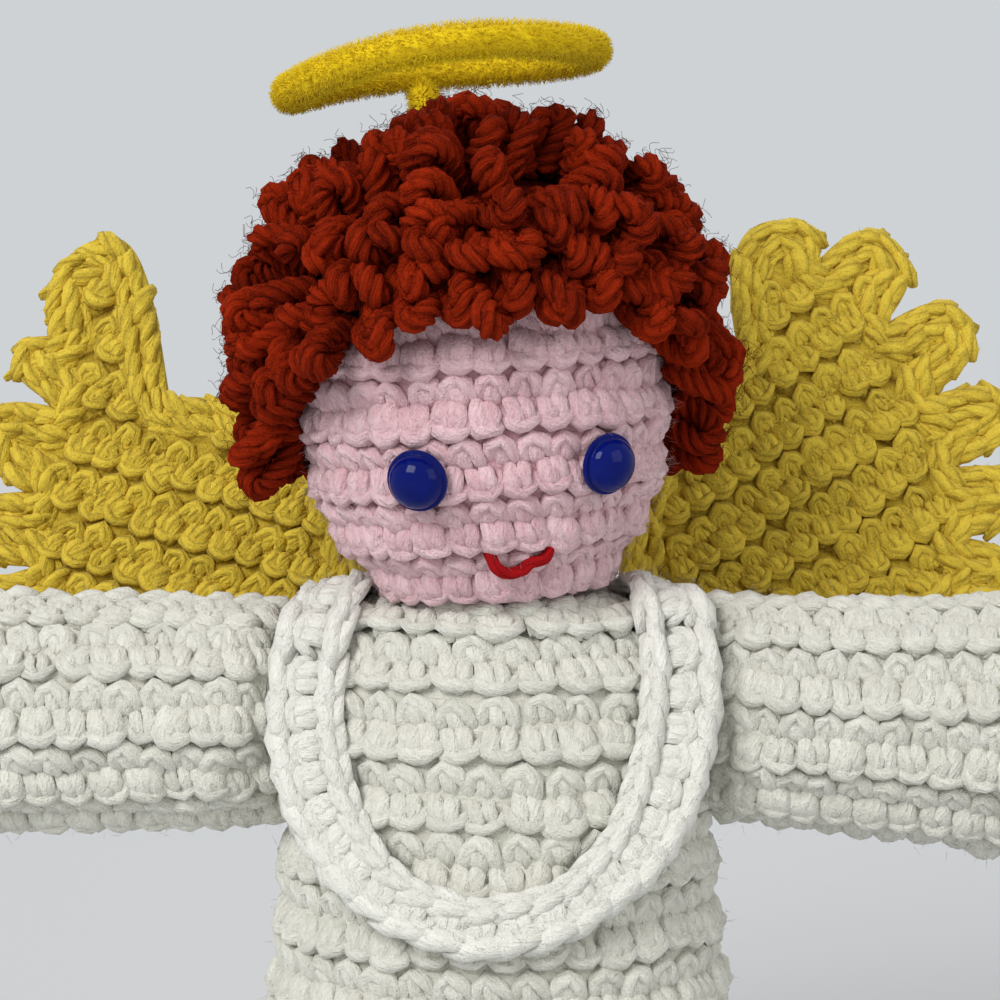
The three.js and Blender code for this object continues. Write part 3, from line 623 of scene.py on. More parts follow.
# Stitches of the gown, none where the sleeves and the stole cover them
gownSpots = ringRows(gownForm, 0.5, gownForm.run[-1] - 0.5, gown["stitchWide"], gown["rowTall"])
inArm = np.abs(gownSpots["centre"]) - arms["pivot"]
inArm[:, 1] /= arms["flat"]
gownSpots = keep(gownSpots, np.linalg.norm(inArm, axis=1) > arms["radius"] + 0.5)
fromBand = np.linalg.norm(gownSpots["centre"][:, None] - bandMiddle["centre"][None], axis=2).min(1)
gownSpots = keep(gownSpots, fromBand > 4)
collar = ramp(gownSpots["centre"][:, 2], 145, 148) * gown["collar"]  # the top rows come up to the chin
gownSpots["centre"] = gownSpots["centre"] + gownSpots["out"] * collar[:, None]
# The backing's -0.3 paints it darker, as shade between the stitches
gownPatches = [shell(gownForm.rings(0.2, gownForm.run[-1], gown["form"] + gown["cloth"], 60), -0.3)]
gownPatches += crochet(gownSpots, gown["form"], gown["yarn"], hairs=1)
gownPiece = weave("gownCrochet", gownPatches, finishes["white"])
dress(gownPiece, "gown", ["gown_cover", "gown_stuffing"])

# Base: its stitches face the floor
base = {
    "halfWide": 47, "halfDeep": 39.5, "height": 0.2, "cloth": (3.0, 3.4), "stitchWide": 4.4, "rowTall": 4.2,
    "yarn": 0.68, "form": -2.35, "loose": 0.08,
}

baseTable = [(base["halfWide"] * s, base["halfDeep"] * s, 0) for s in np.linspace(0.02, 1, 60)]
baseForm = Form(baseTable, foot=(0, 0, base["height"]))
baseSpots = ringRows(baseForm, 2, baseForm.run[-1], base["stitchWide"], base["rowTall"])
baseRings = [baseForm.rings(0.01, baseForm.run[-1], -lift, 2)[-1] for lift in base["cloth"]]
basePatches = [shell(np.stack(baseRings))]
basePatches += crochet(baseSpots, base["form"], base["yarn"], base["loose"], hairs=0)
basePiece = weave("gownBaseCrochet", basePatches, finishes["white"])
dress(basePiece, "gown", ["gown_base"])
print("gown worked")


# Sleeves and mitts: the sleeve is sewn flat to the gown's side
class Sleeve(Form):
    def place(self, azimuth, run, lift=0.0):
        spot = Form.place(self, azimuth, run, lift)
        side = np.sign(self.foot[0])
        back, rise = spot[..., 1], spot[..., 2]
        wide, deep = gownHalf(rise)
        seam = wide * np.sqrt(np.maximum(1 - (back / deep) ** 2, 0)) + 0.8  # just off the gown's side
        front = np.maximum(ramp(-back, -4, 2), ramp(rise, 134, 142))  # where the stole lies before it
        seam = np.maximum(seam, arms["seam"]["left" if side > 0 else "right"] * front)
        out = spot[..., 0] * side
        start, end = self.foot[0] * side - arms["radius"], self.foot[0] * side + 4
        share = ramp(out, start, end)  # the round end is pressed flat on the seam
        out = np.where(share < 1, seam + (end - seam) * share, out)
        slack = 1 - ramp(out, 36, 49)
        back = np.where(back < 0, back * (1 - arms["tuck"] * slack**2), back)
        return np.stack([out * side, back, rise], -1)


def armForm(table, side, word, kind=Form):
    drop = side * math.radians(arms["droop"][word])
    tip = np.array([(math.cos(drop), 0, math.sin(drop)), (0, 1, 0), (-math.sin(drop), 0, math.cos(drop))])
    turn = tip @ np.array([(0, 0, side), (0, -side, 0), (1, 0, 0)], float)
    return kind(table, turn, np.array(arms["pivot"]) * (side, 1, 1))


def sleeveTable(cuff):
    radius, reach = arms["radius"], arms["reach"]
    knots = arms["sewnEnd"] + [(radius, 0), ((radius + cuff) / 2, reach / 2), (cuff, reach - 11),
                               (cuff - 0.8, reach - 4), (cuff - 5, reach), (arms["wrist"], reach + 0.5)]
    return [(r, r * arms["flat"], h) for r, h in spline(knots, np.linspace(0, 1, 120))]


def mittTable():
    bulge = arms["wrist"] + arms["mittBulge"]
    angles = np.radians(np.linspace(-30, 88, 40))
    return [(bulge * math.cos(a), bulge * math.cos(a) * arms["flat"],
             arms["reach"] + arms["hand"] * (0.42 + 0.58 * math.sin(a))) for a in angles]


for side, word in ((1, "left"), (-1, "right")):
    form = armForm(sleeveTable(arms["cuff"][word]), side, word, Sleeve)
    spots = lengthRows(form, 16.6, form.run[-1] - 1, arms["stitchWide"], arms["rows"], side)
    spots = keep(spots, spots["tall"] > 2.4)
    # The backing's -0.3 paints it darker, as shade between the stitches
    patches = [shell(form.rings(0.3, form.run[-1], arms["form"] + arms["cloth"], 48), -0.3)]
    sleeve = weave(word + "SleeveCrochet", patches + crochet(spots, arms["form"]), finishes["white"])
    dress(sleeve, None, [word + "_sleeve", word + "_arm_stuffing"])
    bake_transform(sleeve)
    form = armForm(mittTable(), side, word)
    spots = ringRows(form, 1, form.run[-1] - 1, arms["mittStitch"], arms["mittStitch"])
    patches = [shell(form.rings(0.2, form.run[-1] - 0.2, arms["mittCloth"], 24, 32))]
    patches += crochet(spots, arms["mittForm"], arms["mittYarn"])
    mitt = weave(word + "MittCrochet", patches, finishes["pink"])
    dress(mitt, word + "_arm", [word + "_hand"])
print("arms worked")

# Head: rows worked round, turned and leaning a little
head = {
    "half": (32, 31, 37), "square": 2.4, "turn": 9, "lean": -4.3, "lift": 37.6, "neck": 150,
    "stitchWide": 5.7, "rowTall": 5.4, "yarn": 0.95, "form": -2.6, "cloth": 0.7, "chin": 2.2, "hairs": 14,
    "hairline": 82,  # degrees from the middle of the hair, where the stitches stop under it
}


def turned(turn, lean):
    ct, st, cl, sl = (f(math.radians(a)) for a in (turn, lean) for f in (math.cos, math.sin))
    return np.array([(ct, -st, 0), (st, ct, 0), (0, 0, 1)]) @ np.array([(cl, 0, sl), (0, 1, 0), (-sl, 0, cl)])


headTurn = turned(head["turn"], head["lean"])
skull = np.array((0, 0, head["neck"])) + headTurn @ (0, 0, head["lift"])


def headReach(direction):
    level = np.hypot(direction[..., 0] / head["half"][0], direction[..., 1] / head["half"][1])
    rise = np.abs(direction[..., 2]) / head["half"][2]
    return (level ** head["square"] + rise ** head["square"]) ** (-1 / head["square"])


def facePoint(x, z):
    level = (1 - abs(z / head["half"][2]) ** head["square"]) ** (1 / head["square"])
    return np.array((x, -head["half"][1] * math.sqrt(level**2 - (x / head["half"][0]) ** 2), z))


def faceOut(spot):
    level = math.hypot(spot[0] / head["half"][0], spot[1] / head["half"][1]) ** (head["square"] - 2)
    rise = abs(spot[2] / head["half"][2]) ** (head["square"] - 2)
    return unit(np.array((level, level, rise)) * spot / np.array(head["half"]) ** 2)


def inWorld(points):
    return points @ headTurn.T + skull


headTable = []
for angle in np.linspace(-1.54, 1.54, 200):
    level = math.cos(angle) ** (2 / head["square"])
    rise = math.copysign(abs(math.sin(angle)) ** (2 / head["square"]), angle)
    sag = head["chin"] * math.sin(math.pi * ramp(-rise, 0.74, 1))  # the chin settles on the gown
    headTable.append((head["half"][0] * level, head["half"][1] * level, head["half"][2] * rise - sag))
headForm = Form(headTable, headTurn, skull)

hair = {
    "tilt": 38, "rows": 5, "crown": 20, "edge": 103, "spacing": 5.0, "long": 9.8, "wide": 2.05, "yarn": 2.0,
    "low": 176, "nape": 168,  # heights where no loop hangs by the cheeks, and where the nape starts
    "hang": (0.2, 0.5, 0.9),  # most rows, the last but one, and the fringe
}
tilt = math.radians(hair["tilt"])
hairAxis = np.array((0, math.sin(tilt), math.cos(tilt)))
hairSide = np.array((1, 0, 0))
hairBack = np.cross(hairAxis, hairSide)

headSpots = ringRows(headForm, 7, headForm.run[-1] - 3, head["stitchWide"], head["rowTall"])
fromCrown = unit((headSpots["centre"] - skull) @ headTurn) @ hairAxis
headSpots = keep(headSpots, fromCrown < math.cos(math.radians(head["hairline"])))
# The backing's -0.9 paints it dark, as shade between the stitches
headPatches = [shell(headForm.rings(3, headForm.run[-1] - 0.5, head["form"] + head["cloth"], 44), -0.9)]
headPatches += crochet(headSpots, head["form"], head["yarn"], hairs=head["hairs"])
headPiece = weave("headCrochet", headPatches, finishes["pink"])
dress(headPiece, "head", ["head_cover", "head_stuffing"])

# Neck: a core with whip stitches over it
neck = {
    "stitches": 26, "radius": 12.4, "height": 150.75, "core": 0.4, "yarn": 0.3,
    "whip": [(11.8, 150.4), (12.9, 150.5), (13, 150.9), (12.4, 151.2)],  # radius and height along one stitch
}

neckTurn = np.arange(neck["stitches"]) * 2 * np.pi / neck["stitches"]
neckRing = np.stack([np.cos(neckTurn), np.sin(neckTurn), 0 * neckTurn], 1)
neckReach = neck["radius"] + neck["core"] * np.cos(neckTurn)[:, None]
neckRise = np.array((0, 0, neck["height"])) + np.outer(np.sin(neckTurn), (0, 0, neck["core"]))
neckCore = np.stack([np.stack([np.cos(t), np.sin(t), 0]) * neckReach + neckRise
                     for t in np.linspace(0, 2 * np.pi, 49)[:-1]])
whip = np.stack([neckRing * r + (0, 0, z) for r, z in neck["whip"]], 1)
whipStitches = tubes(whip, np.full(4, neck["yarn"]), strandSides, neckRing, dice.random(neck["stitches"]))
neckPiece = weave("neckWhipStitch", [shell(neckCore), whipStitches], finishes["pink"])
dress(neckPiece, "neck", ["neck_seam"])
print("head worked")

# Mouth: one red yarn, caught down near its middle
mouth = {
    "drop": -27, "yarn": 1.0,
    "path": [(-4.6, 1.0), (-3.4, -0.6), (-1.4, -1.7), (1.0, -1.5), (2.3, -0.7), (4.6, 0.3), (6.4, 2.0)],
    "lift": [-1.2, 0.9, 1.1, 1.0, 0.5, 1.0, -1.2],  # off the face, with both ends drawn in
}
mouthAt = np.array([facePoint(x, mouth["drop"] + z) for x, z in mouth["path"]])
mouthOut = np.array([faceOut(p) for p in mouthAt])
mouthLift = np.array(mouth["lift"])[:, None]
mouthLine = inWorld(spline(mouthAt + mouthOut * mouthLift, np.linspace(0, 1, 40)))
mouthFront = (headTurn @ (0, -1, 0))[None]
mouthStrand = tubes(mouthLine[None], np.full(40, mouth["yarn"]), 12, mouthFront, 0.5, look=yarns["red"])
mouthPiece = weave("mouthYarn", [mouthStrand], finishes["red"])
dress(mouthPiece, "head", ["mouth_yarn"])
print("mouth sewn")


# Hair: rows of curled yarn loops
def headLocal(direction, lift):
    return direction * (headReach(direction)[..., None] + lift)


def hairDirection(polar, azimuth):
    return (np.cos(polar)[..., None] * hairAxis
            + (np.sin(polar) * np.cos(azimuth))[..., None] * hairSide
            + (np.sin(polar) * np.sin(azimuth))[..., None] * hairBack)


def hairLoops(polar, azimuth, hang, steps=20):
    root = hairDirection(polar, azimuth)
    low = inWorld(headLocal(root, 0))[:, 2] < hair["low"]
    shown = ~(low & (np.abs(root[:, 0]) > 0.35))  # none hang beside the cheeks
    root, polar, azimuth = root[shown], polar[shown], azimuth[shown]
    count = len(polar)
    down = unit(hairDirection(polar + 0.02, azimuth) - root)
    sideways = np.cross(root, down)
    fall = (hang * np.clip((-np.sin(azimuth) - 0.4) / 0.4, 0.1, 1))[:, None]  # only the fringe hangs
    way = dice.uniform(0, 2 * math.pi, (count, 1))
    laid = (down * np.cos(way) + sideways * np.sin(way)) * dice.uniform(0.4, 1.1, (count, 1))
    reach = unit(root * (1 - 0.55 * fall) + laid * (1 - 0.6 * fall) + down * 1.1 * fall)
    spin = dice.uniform(-1.5, 1.5, count)[:, None] * (1 - 0.6 * fall)
    flat = unit(np.cross(reach, sideways))
    across = unit(np.cross(flat, reach))
    across, flat = across * np.cos(spin) + flat * np.sin(spin), flat * np.cos(spin) - across * np.sin(spin)
    nape = ramp(-inWorld(headLocal(root, 0))[:, 2], -hair["nape"], 6 - hair["nape"])[:, None]
    reach = unit(reach * (1 - nape) + nape * (root * 0.35 - down))
    long = hair["long"] * dice.uniform(0.85, 1.2, count) * (1 - 0.12 * fall[:, 0]) * (1 - 0.3 * nape[:, 0])
    long = long[:, None, None]
    wide = (hair["wide"] * dice.uniform(0.92, 1.25, count))[:, None, None]
    turn = np.linspace(-math.pi / 2 + 0.35, 1.5 * math.pi - 0.35, steps)[None, :, None]
    out = (1 + np.sin(turn)) / 2
    broad = np.sign(np.cos(turn)) * np.abs(np.cos(turn)) ** 0.7
    curl = (dice.choice((-1, 1), count) * dice.uniform(0.4, 1.6, count))[:, None, None] * out
    arm = across[:, None] * np.cos(curl) + flat[:, None] * np.sin(curl)
    face = flat[:, None] * np.cos(curl) - across[:, None] * np.sin(curl)
    path = headLocal(root, 1.2)[:, None] + reach[:, None] * (out * long) + arm * (broad * wide)
    path = path + down[:, None] * (out**2 * dice.uniform(0, 2, count)[:, None, None])
    path = path + face * dice.normal(0, 1.0, count)[:, None, None] * out**2
    radius = hair["yarn"] * dice.uniform(0.92, 1.08, count)[:, None] * np.ones(steps)
    loops = tubes(inWorld(path), radius, 12, face @ headTurn.T, dice.random(count), look=yarns["rust"])
    tops = inWorld(path[:, 6:-6]).reshape(-1, 3)
    strays = curls(tops, np.repeat(root @ headTurn.T, steps - 12, 0), count * 8)
    return [loops, strays]


def curls(anchors, out, count, steps=9):  # stray curly fibres
    at = dice.integers(0, len(anchors), count)
    out = unit(out[at] + dice.normal(0, 0.3, (count, 3)))
    side = unit(np.cross(out, dice.normal(0, 1, (count, 3))))
    share = np.linspace(0, 1, steps)[None, :, None]
    reach = dice.uniform(0.6, 3.4, (count, 1, 1))
    ring = dice.uniform(0.4, 1.3, (count, 1, 1))
    turn = dice.choice((-1, 1), (count, 1, 1)) * dice.uniform(3, 9, (count, 1, 1)) * share
    path = anchors[at][:, None] + out[:, None] * (1.4 + reach * share)
    path = path + ring * (side[:, None] * np.sin(turn) + np.cross(out, side)[:, None] * (1 - np.cos(turn)))
    return tubes(path, np.full(steps, 0.045), 3, out + side, 0.2, True)


def scalpBand(start, end):  # thin backing that the loops are sewn to
    azimuth = np.arange(48) * 2 * np.pi / 48
    corners = [(start, 0.1), (start, 0.9), (end, 0.9), (end, 0.1), (start, 0.1)]
    rings = [inWorld(headLocal(hairDirection(np.full(48, p), azimuth), h)) for p, h in corners]
    # -0.8 paints the band dark, as shade between the loops
    return shell(np.stack(rings), -0.8)


rowSpan = math.radians(hair["edge"] - hair["crown"]) / hair["rows"]
for row in range(-1, hair["rows"]):  # the crown first
    start = math.radians(hair["crown"]) + row * rowSpan
    fringe = row == hair["rows"] - 1
    hang = hair["hang"][max(row - hair["rows"] + 3, 0)]
    patches = []
    for part in (0.25, 0.75) if row >= 0 else (0.35, 0.8):
        polar = start + part * rowSpan if row >= 0 else part * math.radians(hair["crown"])
        count = max(4, round(2 * math.pi * head["half"][2] * math.sin(polar) / hair["spacing"]))
        azimuth = 2 * math.pi * (np.arange(count) + dice.uniform(-0.2, 0.2, count) + part) / count
        raised = 0.1 * fringe * np.clip(-np.sin(azimuth), 0, 1)  # higher over the face
        polars = polar + dice.normal(0, 0.03, count) - raised
        patches += hairLoops(polars, azimuth, hang)
    if row >= 0:
        patches.append(scalpBand(start, start + rowSpan * (0.7 if fringe else 1)))
    else:
        patches.append(scalpBand(0.02, math.radians(hair["crown"])))
    node = f"hair_row_{row + 1}" if row >= 0 else "hair_crown"
    loops = weave("hairLoops" + (str(row + 1) if row >= 0 else "Crown"), patches, finishes["rust"])
    dress(loops, "head", [node])
print("hair sewn")

# Eyes: glossy domes with a thin rim, pressed into the face
eyes = {
    "radius": 5, "height": 4.4, "rim": 0.9, "step": 0.45, "proud": 0.3, "spacing": 30, "drop": 12.4,
    "blue": tone(1, 22, 112), "dark": tone(0, 12, 80),
}

eyePlastic = newFinish("eyePlastic", {"Specular IOR Level": 0.15, "IOR": 1.45})
eyeAt = eyePlastic.node("TexCoord", None, None, "Object")
eyeCloud = eyePlastic.node("TexNoise", None, {"Vector": eyeAt, "Scale": 260.0, "Detail": 3.0})
eyeScuff = eyePlastic.node("TexNoise", None, {"Vector": eyeAt, "Scale": 900.0, "Detail": 2.0})
eyePlastic.feed("Base Color", eyePlastic.mix(eyeCloud, eyes["dark"], eyes["blue"]))
eyePlastic.feed("Roughness", eyeScuff * 0.08 + 0.03)
dome = eyes["radius"] - eyes["step"]  # the rim stands out round the dome

for side, word in ((1, "left"), (-1, "right")):
    bpy.ops.object.select_all(action="DESELECT")
    bpy.ops.mesh.primitive_uv_sphere_add(segments=48, ring_count=24, radius=dome * mm)
    eye = bpy.context.object
    eye.name = word + "EyeDome"
    bpy.ops.object.mode_set(mode="EDIT")
    bpy.ops.mesh.select_all(action="SELECT")
    bpy.ops.mesh.bisect(plane_co=(0, 0, 0.0001), plane_no=(0, 0, 1), clear_inner=True, use_fill=True)
    bpy.ops.mesh.select_all(action="SELECT")
    bpy.ops.transform.resize(value=(1, 1, (eyes["height"] - eyes["rim"]) / dome))
    bpy.ops.mesh.select_mode(type="FACE")
    bpy.ops.mesh.select_all(action="DESELECT")
    bpy.ops.object.mode_set(mode="OBJECT")
    for face in eye.data.polygons:
        face.select = face.normal.z < -0.9
    bpy.ops.object.mode_set(mode="EDIT")
    for depth, size in ((0.05, eyes["radius"] / dome), (eyes["rim"] * 0.5, 1.03), (eyes["rim"] * 0.45, 0.97)):
        bpy.ops.mesh.extrude_region_move(TRANSFORM_OT_translate={"value": (0, 0, -depth * mm)})
        bpy.ops.transform.resize(value=(size, size, 1))
    bpy.ops.object.mode_set(mode="OBJECT")
    bpy.ops.object.shade_smooth_by_angle(angle=math.radians(50))
    spot = facePoint(side * eyes["spacing"] / 2, -eyes["drop"])
    out = faceOut(spot)
    turn = Vector(headTurn @ out).to_track_quat("Z", "Y").to_matrix().to_4x4()
    seat = Vector(inWorld(spot + out * (eyes["proud"] + eyes["rim"]))) * mm
    eye.data.transform(Matrix.Translation(seat) @ turn)
    eye.data.materials.append(eyePlastic.material)
    dress(eye, "head", [word + "_eye"])
print("eyes set")

# Halo: a chenille stem bent to a ring on a short stalk
halo = {
    "radius": 26, "tube": 3.2, "core": 2.5, "fibres": 130,  # fibres for each mm of stem
    "centre": (-3, 0, 55), "lean": -3, "pitch": -0.3, "foot": (-12.815, 21.327, 233.997), "sunk": 12,
    "bend": (-1.0, -0.6, -0.3, 0.0, 0.5, 1.0), "lift": (-1.7, 0.3, 1.4, 1.0, 0.3, -0.9),
}


def pile(line, closed):  # short fibres all round a line
    length = np.linalg.norm(np.diff(line, axis=0), axis=1).sum()
    count = round(length * halo["fibres"])
    ahead = unit(np.roll(line, -1, 0) - np.roll(line, 1, 0)) if closed else unit(np.gradient(line, axis=0))
    at = dice.uniform(0, len(line) - (0 if closed else 1), count)
    low = at.astype(int)
    high = (low + 1) % len(line)
    share = (at - low)[:, None]
    spot = line[low] * (1 - share) + line[high] * share
    along = unit(ahead[low] * (1 - share) + ahead[high] * share)
    side = unit(np.cross(along, dice.normal(0, 1, (count, 3))))
    tip = halo["tube"] * dice.uniform(0.9, 1.14, count)[:, None]
    lean = along * dice.normal(0, 0.3, count)[:, None]
    path = np.stack([spot + side * 0.6 * halo["tube"], spot + (side + lean) * tip], 1)
    return tubes(path, np.array((0.1, 0.03)), 3, np.cross(side, along), dice.random(count))


ringTurn = np.linspace(0, 2 * np.pi, 121)[:-1]
cp, sp, cl, sl = (f(math.radians(halo[a])) for a in ("pitch", "lean") for f in (math.cos, math.sin))
ringSpin = np.array([(1, 0, 0), (0, cp, -sp), (0, sp, cp)]) @ np.array([(cl, 0, sl), (0, 1, 0), (-sl, 0, cl)])
ringLine = np.stack([np.cos(ringTurn), np.sin(ringTurn), 0 * ringTurn], 1) * halo["radius"]
sway = np.polyfit(halo["bend"], halo["lift"], 4)  # bent by hand, so one side hangs
ringLine[:, 2] = np.polyval(sway, np.cos(ringTurn))
ringLine = inWorld(ringLine @ ringSpin.T + halo["centre"])
joinAt = inWorld(ringSpin @ (0, halo["radius"], 0) + halo["centre"])
bend = np.array(halo["foot"])
stalk = unit(joinAt - bend)


def core(line, radius, closed):  # solid middle of the pile
    if not closed:
        return tubes(line[None], np.full(len(line), radius), 10, np.array(((0.3, 0.9, 0.1),)), 0.1)
    ahead = unit(np.roll(line, -1, 0) - np.roll(line, 1, 0))
    side = unit(np.cross(ahead, (0, 0, 1)))
    top = np.cross(side, ahead)
    turn = (np.arange(10) * 2 * np.pi / 10)[:, None]
    rings = line[:, None] + radius * (side[:, None] * np.cos(turn) + top[:, None] * np.sin(turn))
    return shell(np.concatenate([rings, rings[:1]]), 0.1)


upper = np.linspace(bend, joinAt, 12)
lower = np.linspace(bend - stalk * halo["sunk"], bend - stalk * 0.5, 12)
ringPatches = [core(ringLine, halo["core"], True), core(upper, halo["core"], False)]
ringPatches += [pile(ringLine, True), pile(upper, False)]
ringPiece = weave("haloChenille", ringPatches, finishes["yellow"])
dress(ringPiece, "halo", ["halo_ring"])
stemPatches = [core(lower, halo["core"], False), pile(lower, False)]
stemPiece = weave("haloStemChenille", stemPatches, finishes["yellow"])
dress(stemPiece, "head", ["halo_stem"])
print("halo bent")

# Stole: rope edges and a row of cups between
stolePatches = []
for spots, row in zip(stoleRows, stole["rows"]):
    stolePatches += crochet(spots, row["lift"], row["yarn"], stole["loose"], stole["hairs"])
outerEdge, innerEdge = (bandSpots(stoleLine, side * stole["edge"], cup, 1) for side in (-1, 1))
around = ((outerEdge, 0), (bandMiddle, 0), (innerEdge, 0),
          (innerEdge, 1.2), (bandMiddle, 1), (outerEdge, 1.2))  # under the stitches, then back over
stoleRings = np.stack([row["centre"] + lift * row["out"] for row, lift in around], 1)
stolePatches.append(shell(np.concatenate([stoleRings, stoleRings[:1]])))
stolePiece = weave("stoleCrochet", stolePatches, finishes["snow"])
dress(stolePiece, "gown", ["stole"])
print("stole laid")

# Wings: rows across each palm, chains round its lobes, a cord along the rim
wings = {
    # Where the root is sewn, and how far behind the doll the wing stands
    "neck": 150, "root": 19, "rootBottom": -30, "rootTop": -17, "rootEase": 10, "stand": 27.3, "thick": 4.6,
    # The fan's middle, the angles between its lobes and how far out each goes
    "fan": (10, 9), "fanRadius": 60, "flare": 0.15, "sideShare": 0.65, "shoulder": 0.35,
    "angles": (-32, -20, -8, 4.5, 17.5, 31.5, 48.5), "reaches": (71, 72, 73, 74, 75, 74.5, 73.5),
    "palm": [(19, 37.5), (6.4, 20)], "palmRise": 43.5, "topBulge": 3, "topShoulder": 9,
    # Degrees that it sweeps back, and its lean
    "sweep": 7, "sweepFrom": 8, "lean": 0.3, "leanFrom": -8,
    # Stitches, chains along the edge, cord and cloth
    "rowSlope": 34, "rowTall": 4.8, "stitchWide": 5.3, "yarn": 0.85, "loose": 0.15, "hairs": 5,
    "hems": (2.1, 5.3), "hemStitch": 4.4, "hemTall": 3.2, "rimInset": 1.1, "rimYarn": 1.15, "sheetInset": 1.6,
    "left": {"droop": 0, "palmOut": 27, "tip": (36, 68), "end": 57, "notch": 60},
    "right": {"droop": 18, "palmOut": 35, "tip": (40, 77), "end": 50.5, "notch": 68},
}


def wingOutline(shape):
    turn = -math.radians(shape["droop"])
    fan = np.array(wings["fan"])
    spin = np.array([(math.cos(turn), -math.sin(turn)), (math.sin(turn), math.cos(turn))])

    def rim(degrees, reach):
        angle = math.radians(degrees)
        return reach * np.array((math.cos(angle), math.sin(angle))) + fan

    highs = [(a + b) / 2 for a, b in zip(wings["angles"], wings["angles"][1:])] + [shape["end"]]
    low = 2 * wings["angles"][0] - highs[0]
    near = rim(low, wings["fanRadius"])
    arcs = []
    for high, reach in zip(highs, wings["reaches"]):
        half = (high - low) / 2
        sideReach = wings["fanRadius"] + wings["sideShare"] * (reach - wings["fanRadius"])
        far = rim(high, shape["notch"] if high == shape["end"] else wings["fanRadius"])
        top = rim(low + half, reach)
        flare, shoulder = wings["flare"] * half, wings["shoulder"] * half
        arcs.append((near, rim(low + flare, sideReach), rim(low + shoulder, reach), top))
        arcs.append((top, rim(high - shoulder, reach), rim(high - flare, sideReach), far))
        low, near = high, far
    top = np.array(shape["tip"], float)
    corner = np.array((shape["palmOut"], wings["palmRise"]))
    edge = np.array((corner[0] - wings["topBulge"], corner[1] + wings["sideShare"] * (top[1] - corner[1])))
    swell = np.array((near[0] + wings["topBulge"], (near[1] + top[1]) / 2))
    over = np.array((wings["topShoulder"], 0))
    arcs += [(near, swell, top + over, top), (top, top - over, edge, corner)]
    flat = [a * (1 - t) ** 3 + 3 * b * t * (1 - t) ** 2 + 3 * c * t**2 * (1 - t) + d * t**3
            for a, b, c, d in arcs for t in np.linspace(0, 1, 16, endpoint=False)]
    flat = (np.array(flat + [corner] + [np.array(p) for p in wings["palm"]]) - fan) @ spin.T + fan
    ends = np.array([(0, wings["rootTop"]), (0, wings["rootBottom"])])
    return evenly(np.concatenate([flat, ends]), 0.8, True)


def wingPlace(flat, side):
    u, v = flat[..., 0], flat[..., 1]
    broad, deep = gownHalf(wings["neck"] + np.minimum(v, wings["rootTop"]))
    half = wings["thick"] / 2
    root = deep * np.sqrt(1 - (wings["root"] / broad) ** 2) + 0.3 + half
    ease = ramp(u, 0, wings["rootEase"])
    ease = ease * ease * (3 - 2 * ease)
    lean = wings["lean"] * np.maximum(v - wings["leanFrom"], 0)
    y = root + (wings["stand"] + half - root) * ease + lean * ease
    y = y + math.tan(math.radians(wings["sweep"])) * np.maximum(u - wings["sweepFrom"], 0)
    return np.stack([side * (wings["root"] + u), y, wings["neck"] + v], -1)


def inside(points, outline):
    a, b = outline, np.roll(outline, -1, 0)
    x, y = points[:, :1], points[:, 1:]
    cross = (a[:, 1] > y) != (b[:, 1] > y)
    at = (b[:, 0] - a[:, 0]) * (y - a[:, 1]) / np.where(b[:, 1] == a[:, 1], 1e-9, b[:, 1] - a[:, 1]) + a[:, 0]
    return (cross & (x < at)).sum(1) % 2 == 1


def clearOf(points, outline):
    return np.linalg.norm(points[:, None] - outline[None], axis=2).min(1)


def insetLine(outline, depth):
    ahead = unit(np.roll(outline, -2, 0) - np.roll(outline, 2, 0))
    inner = outline + np.stack([-ahead[:, 1], ahead[:, 0]], 1) * depth
    return inner[clearOf(inner, outline) > depth * 0.93]


def wingSpots(flat, ahead, side, face, wide, tall, kind):
    step = 0.5
    right = wingPlace(flat + ahead * step, side) - wingPlace(flat - ahead * step, side)
    turn = np.stack([-ahead[:, 1], ahead[:, 0]], 1)
    up = wingPlace(flat + turn * step, side) - wingPlace(flat - turn * step, side)
    right, up = unit(right), unit(up)
    out = unit(np.cross(right, up))
    out = np.where((out[:, 1] * face < 0)[:, None], -out, out)
    return {"centre": wingPlace(flat, side), "right": right, "up": up, "out": out,
            "wide": np.full(len(flat), float(wide)), "tall": np.full(len(flat), float(tall)),
            "kind": np.broadcast_to(kind, len(flat))}
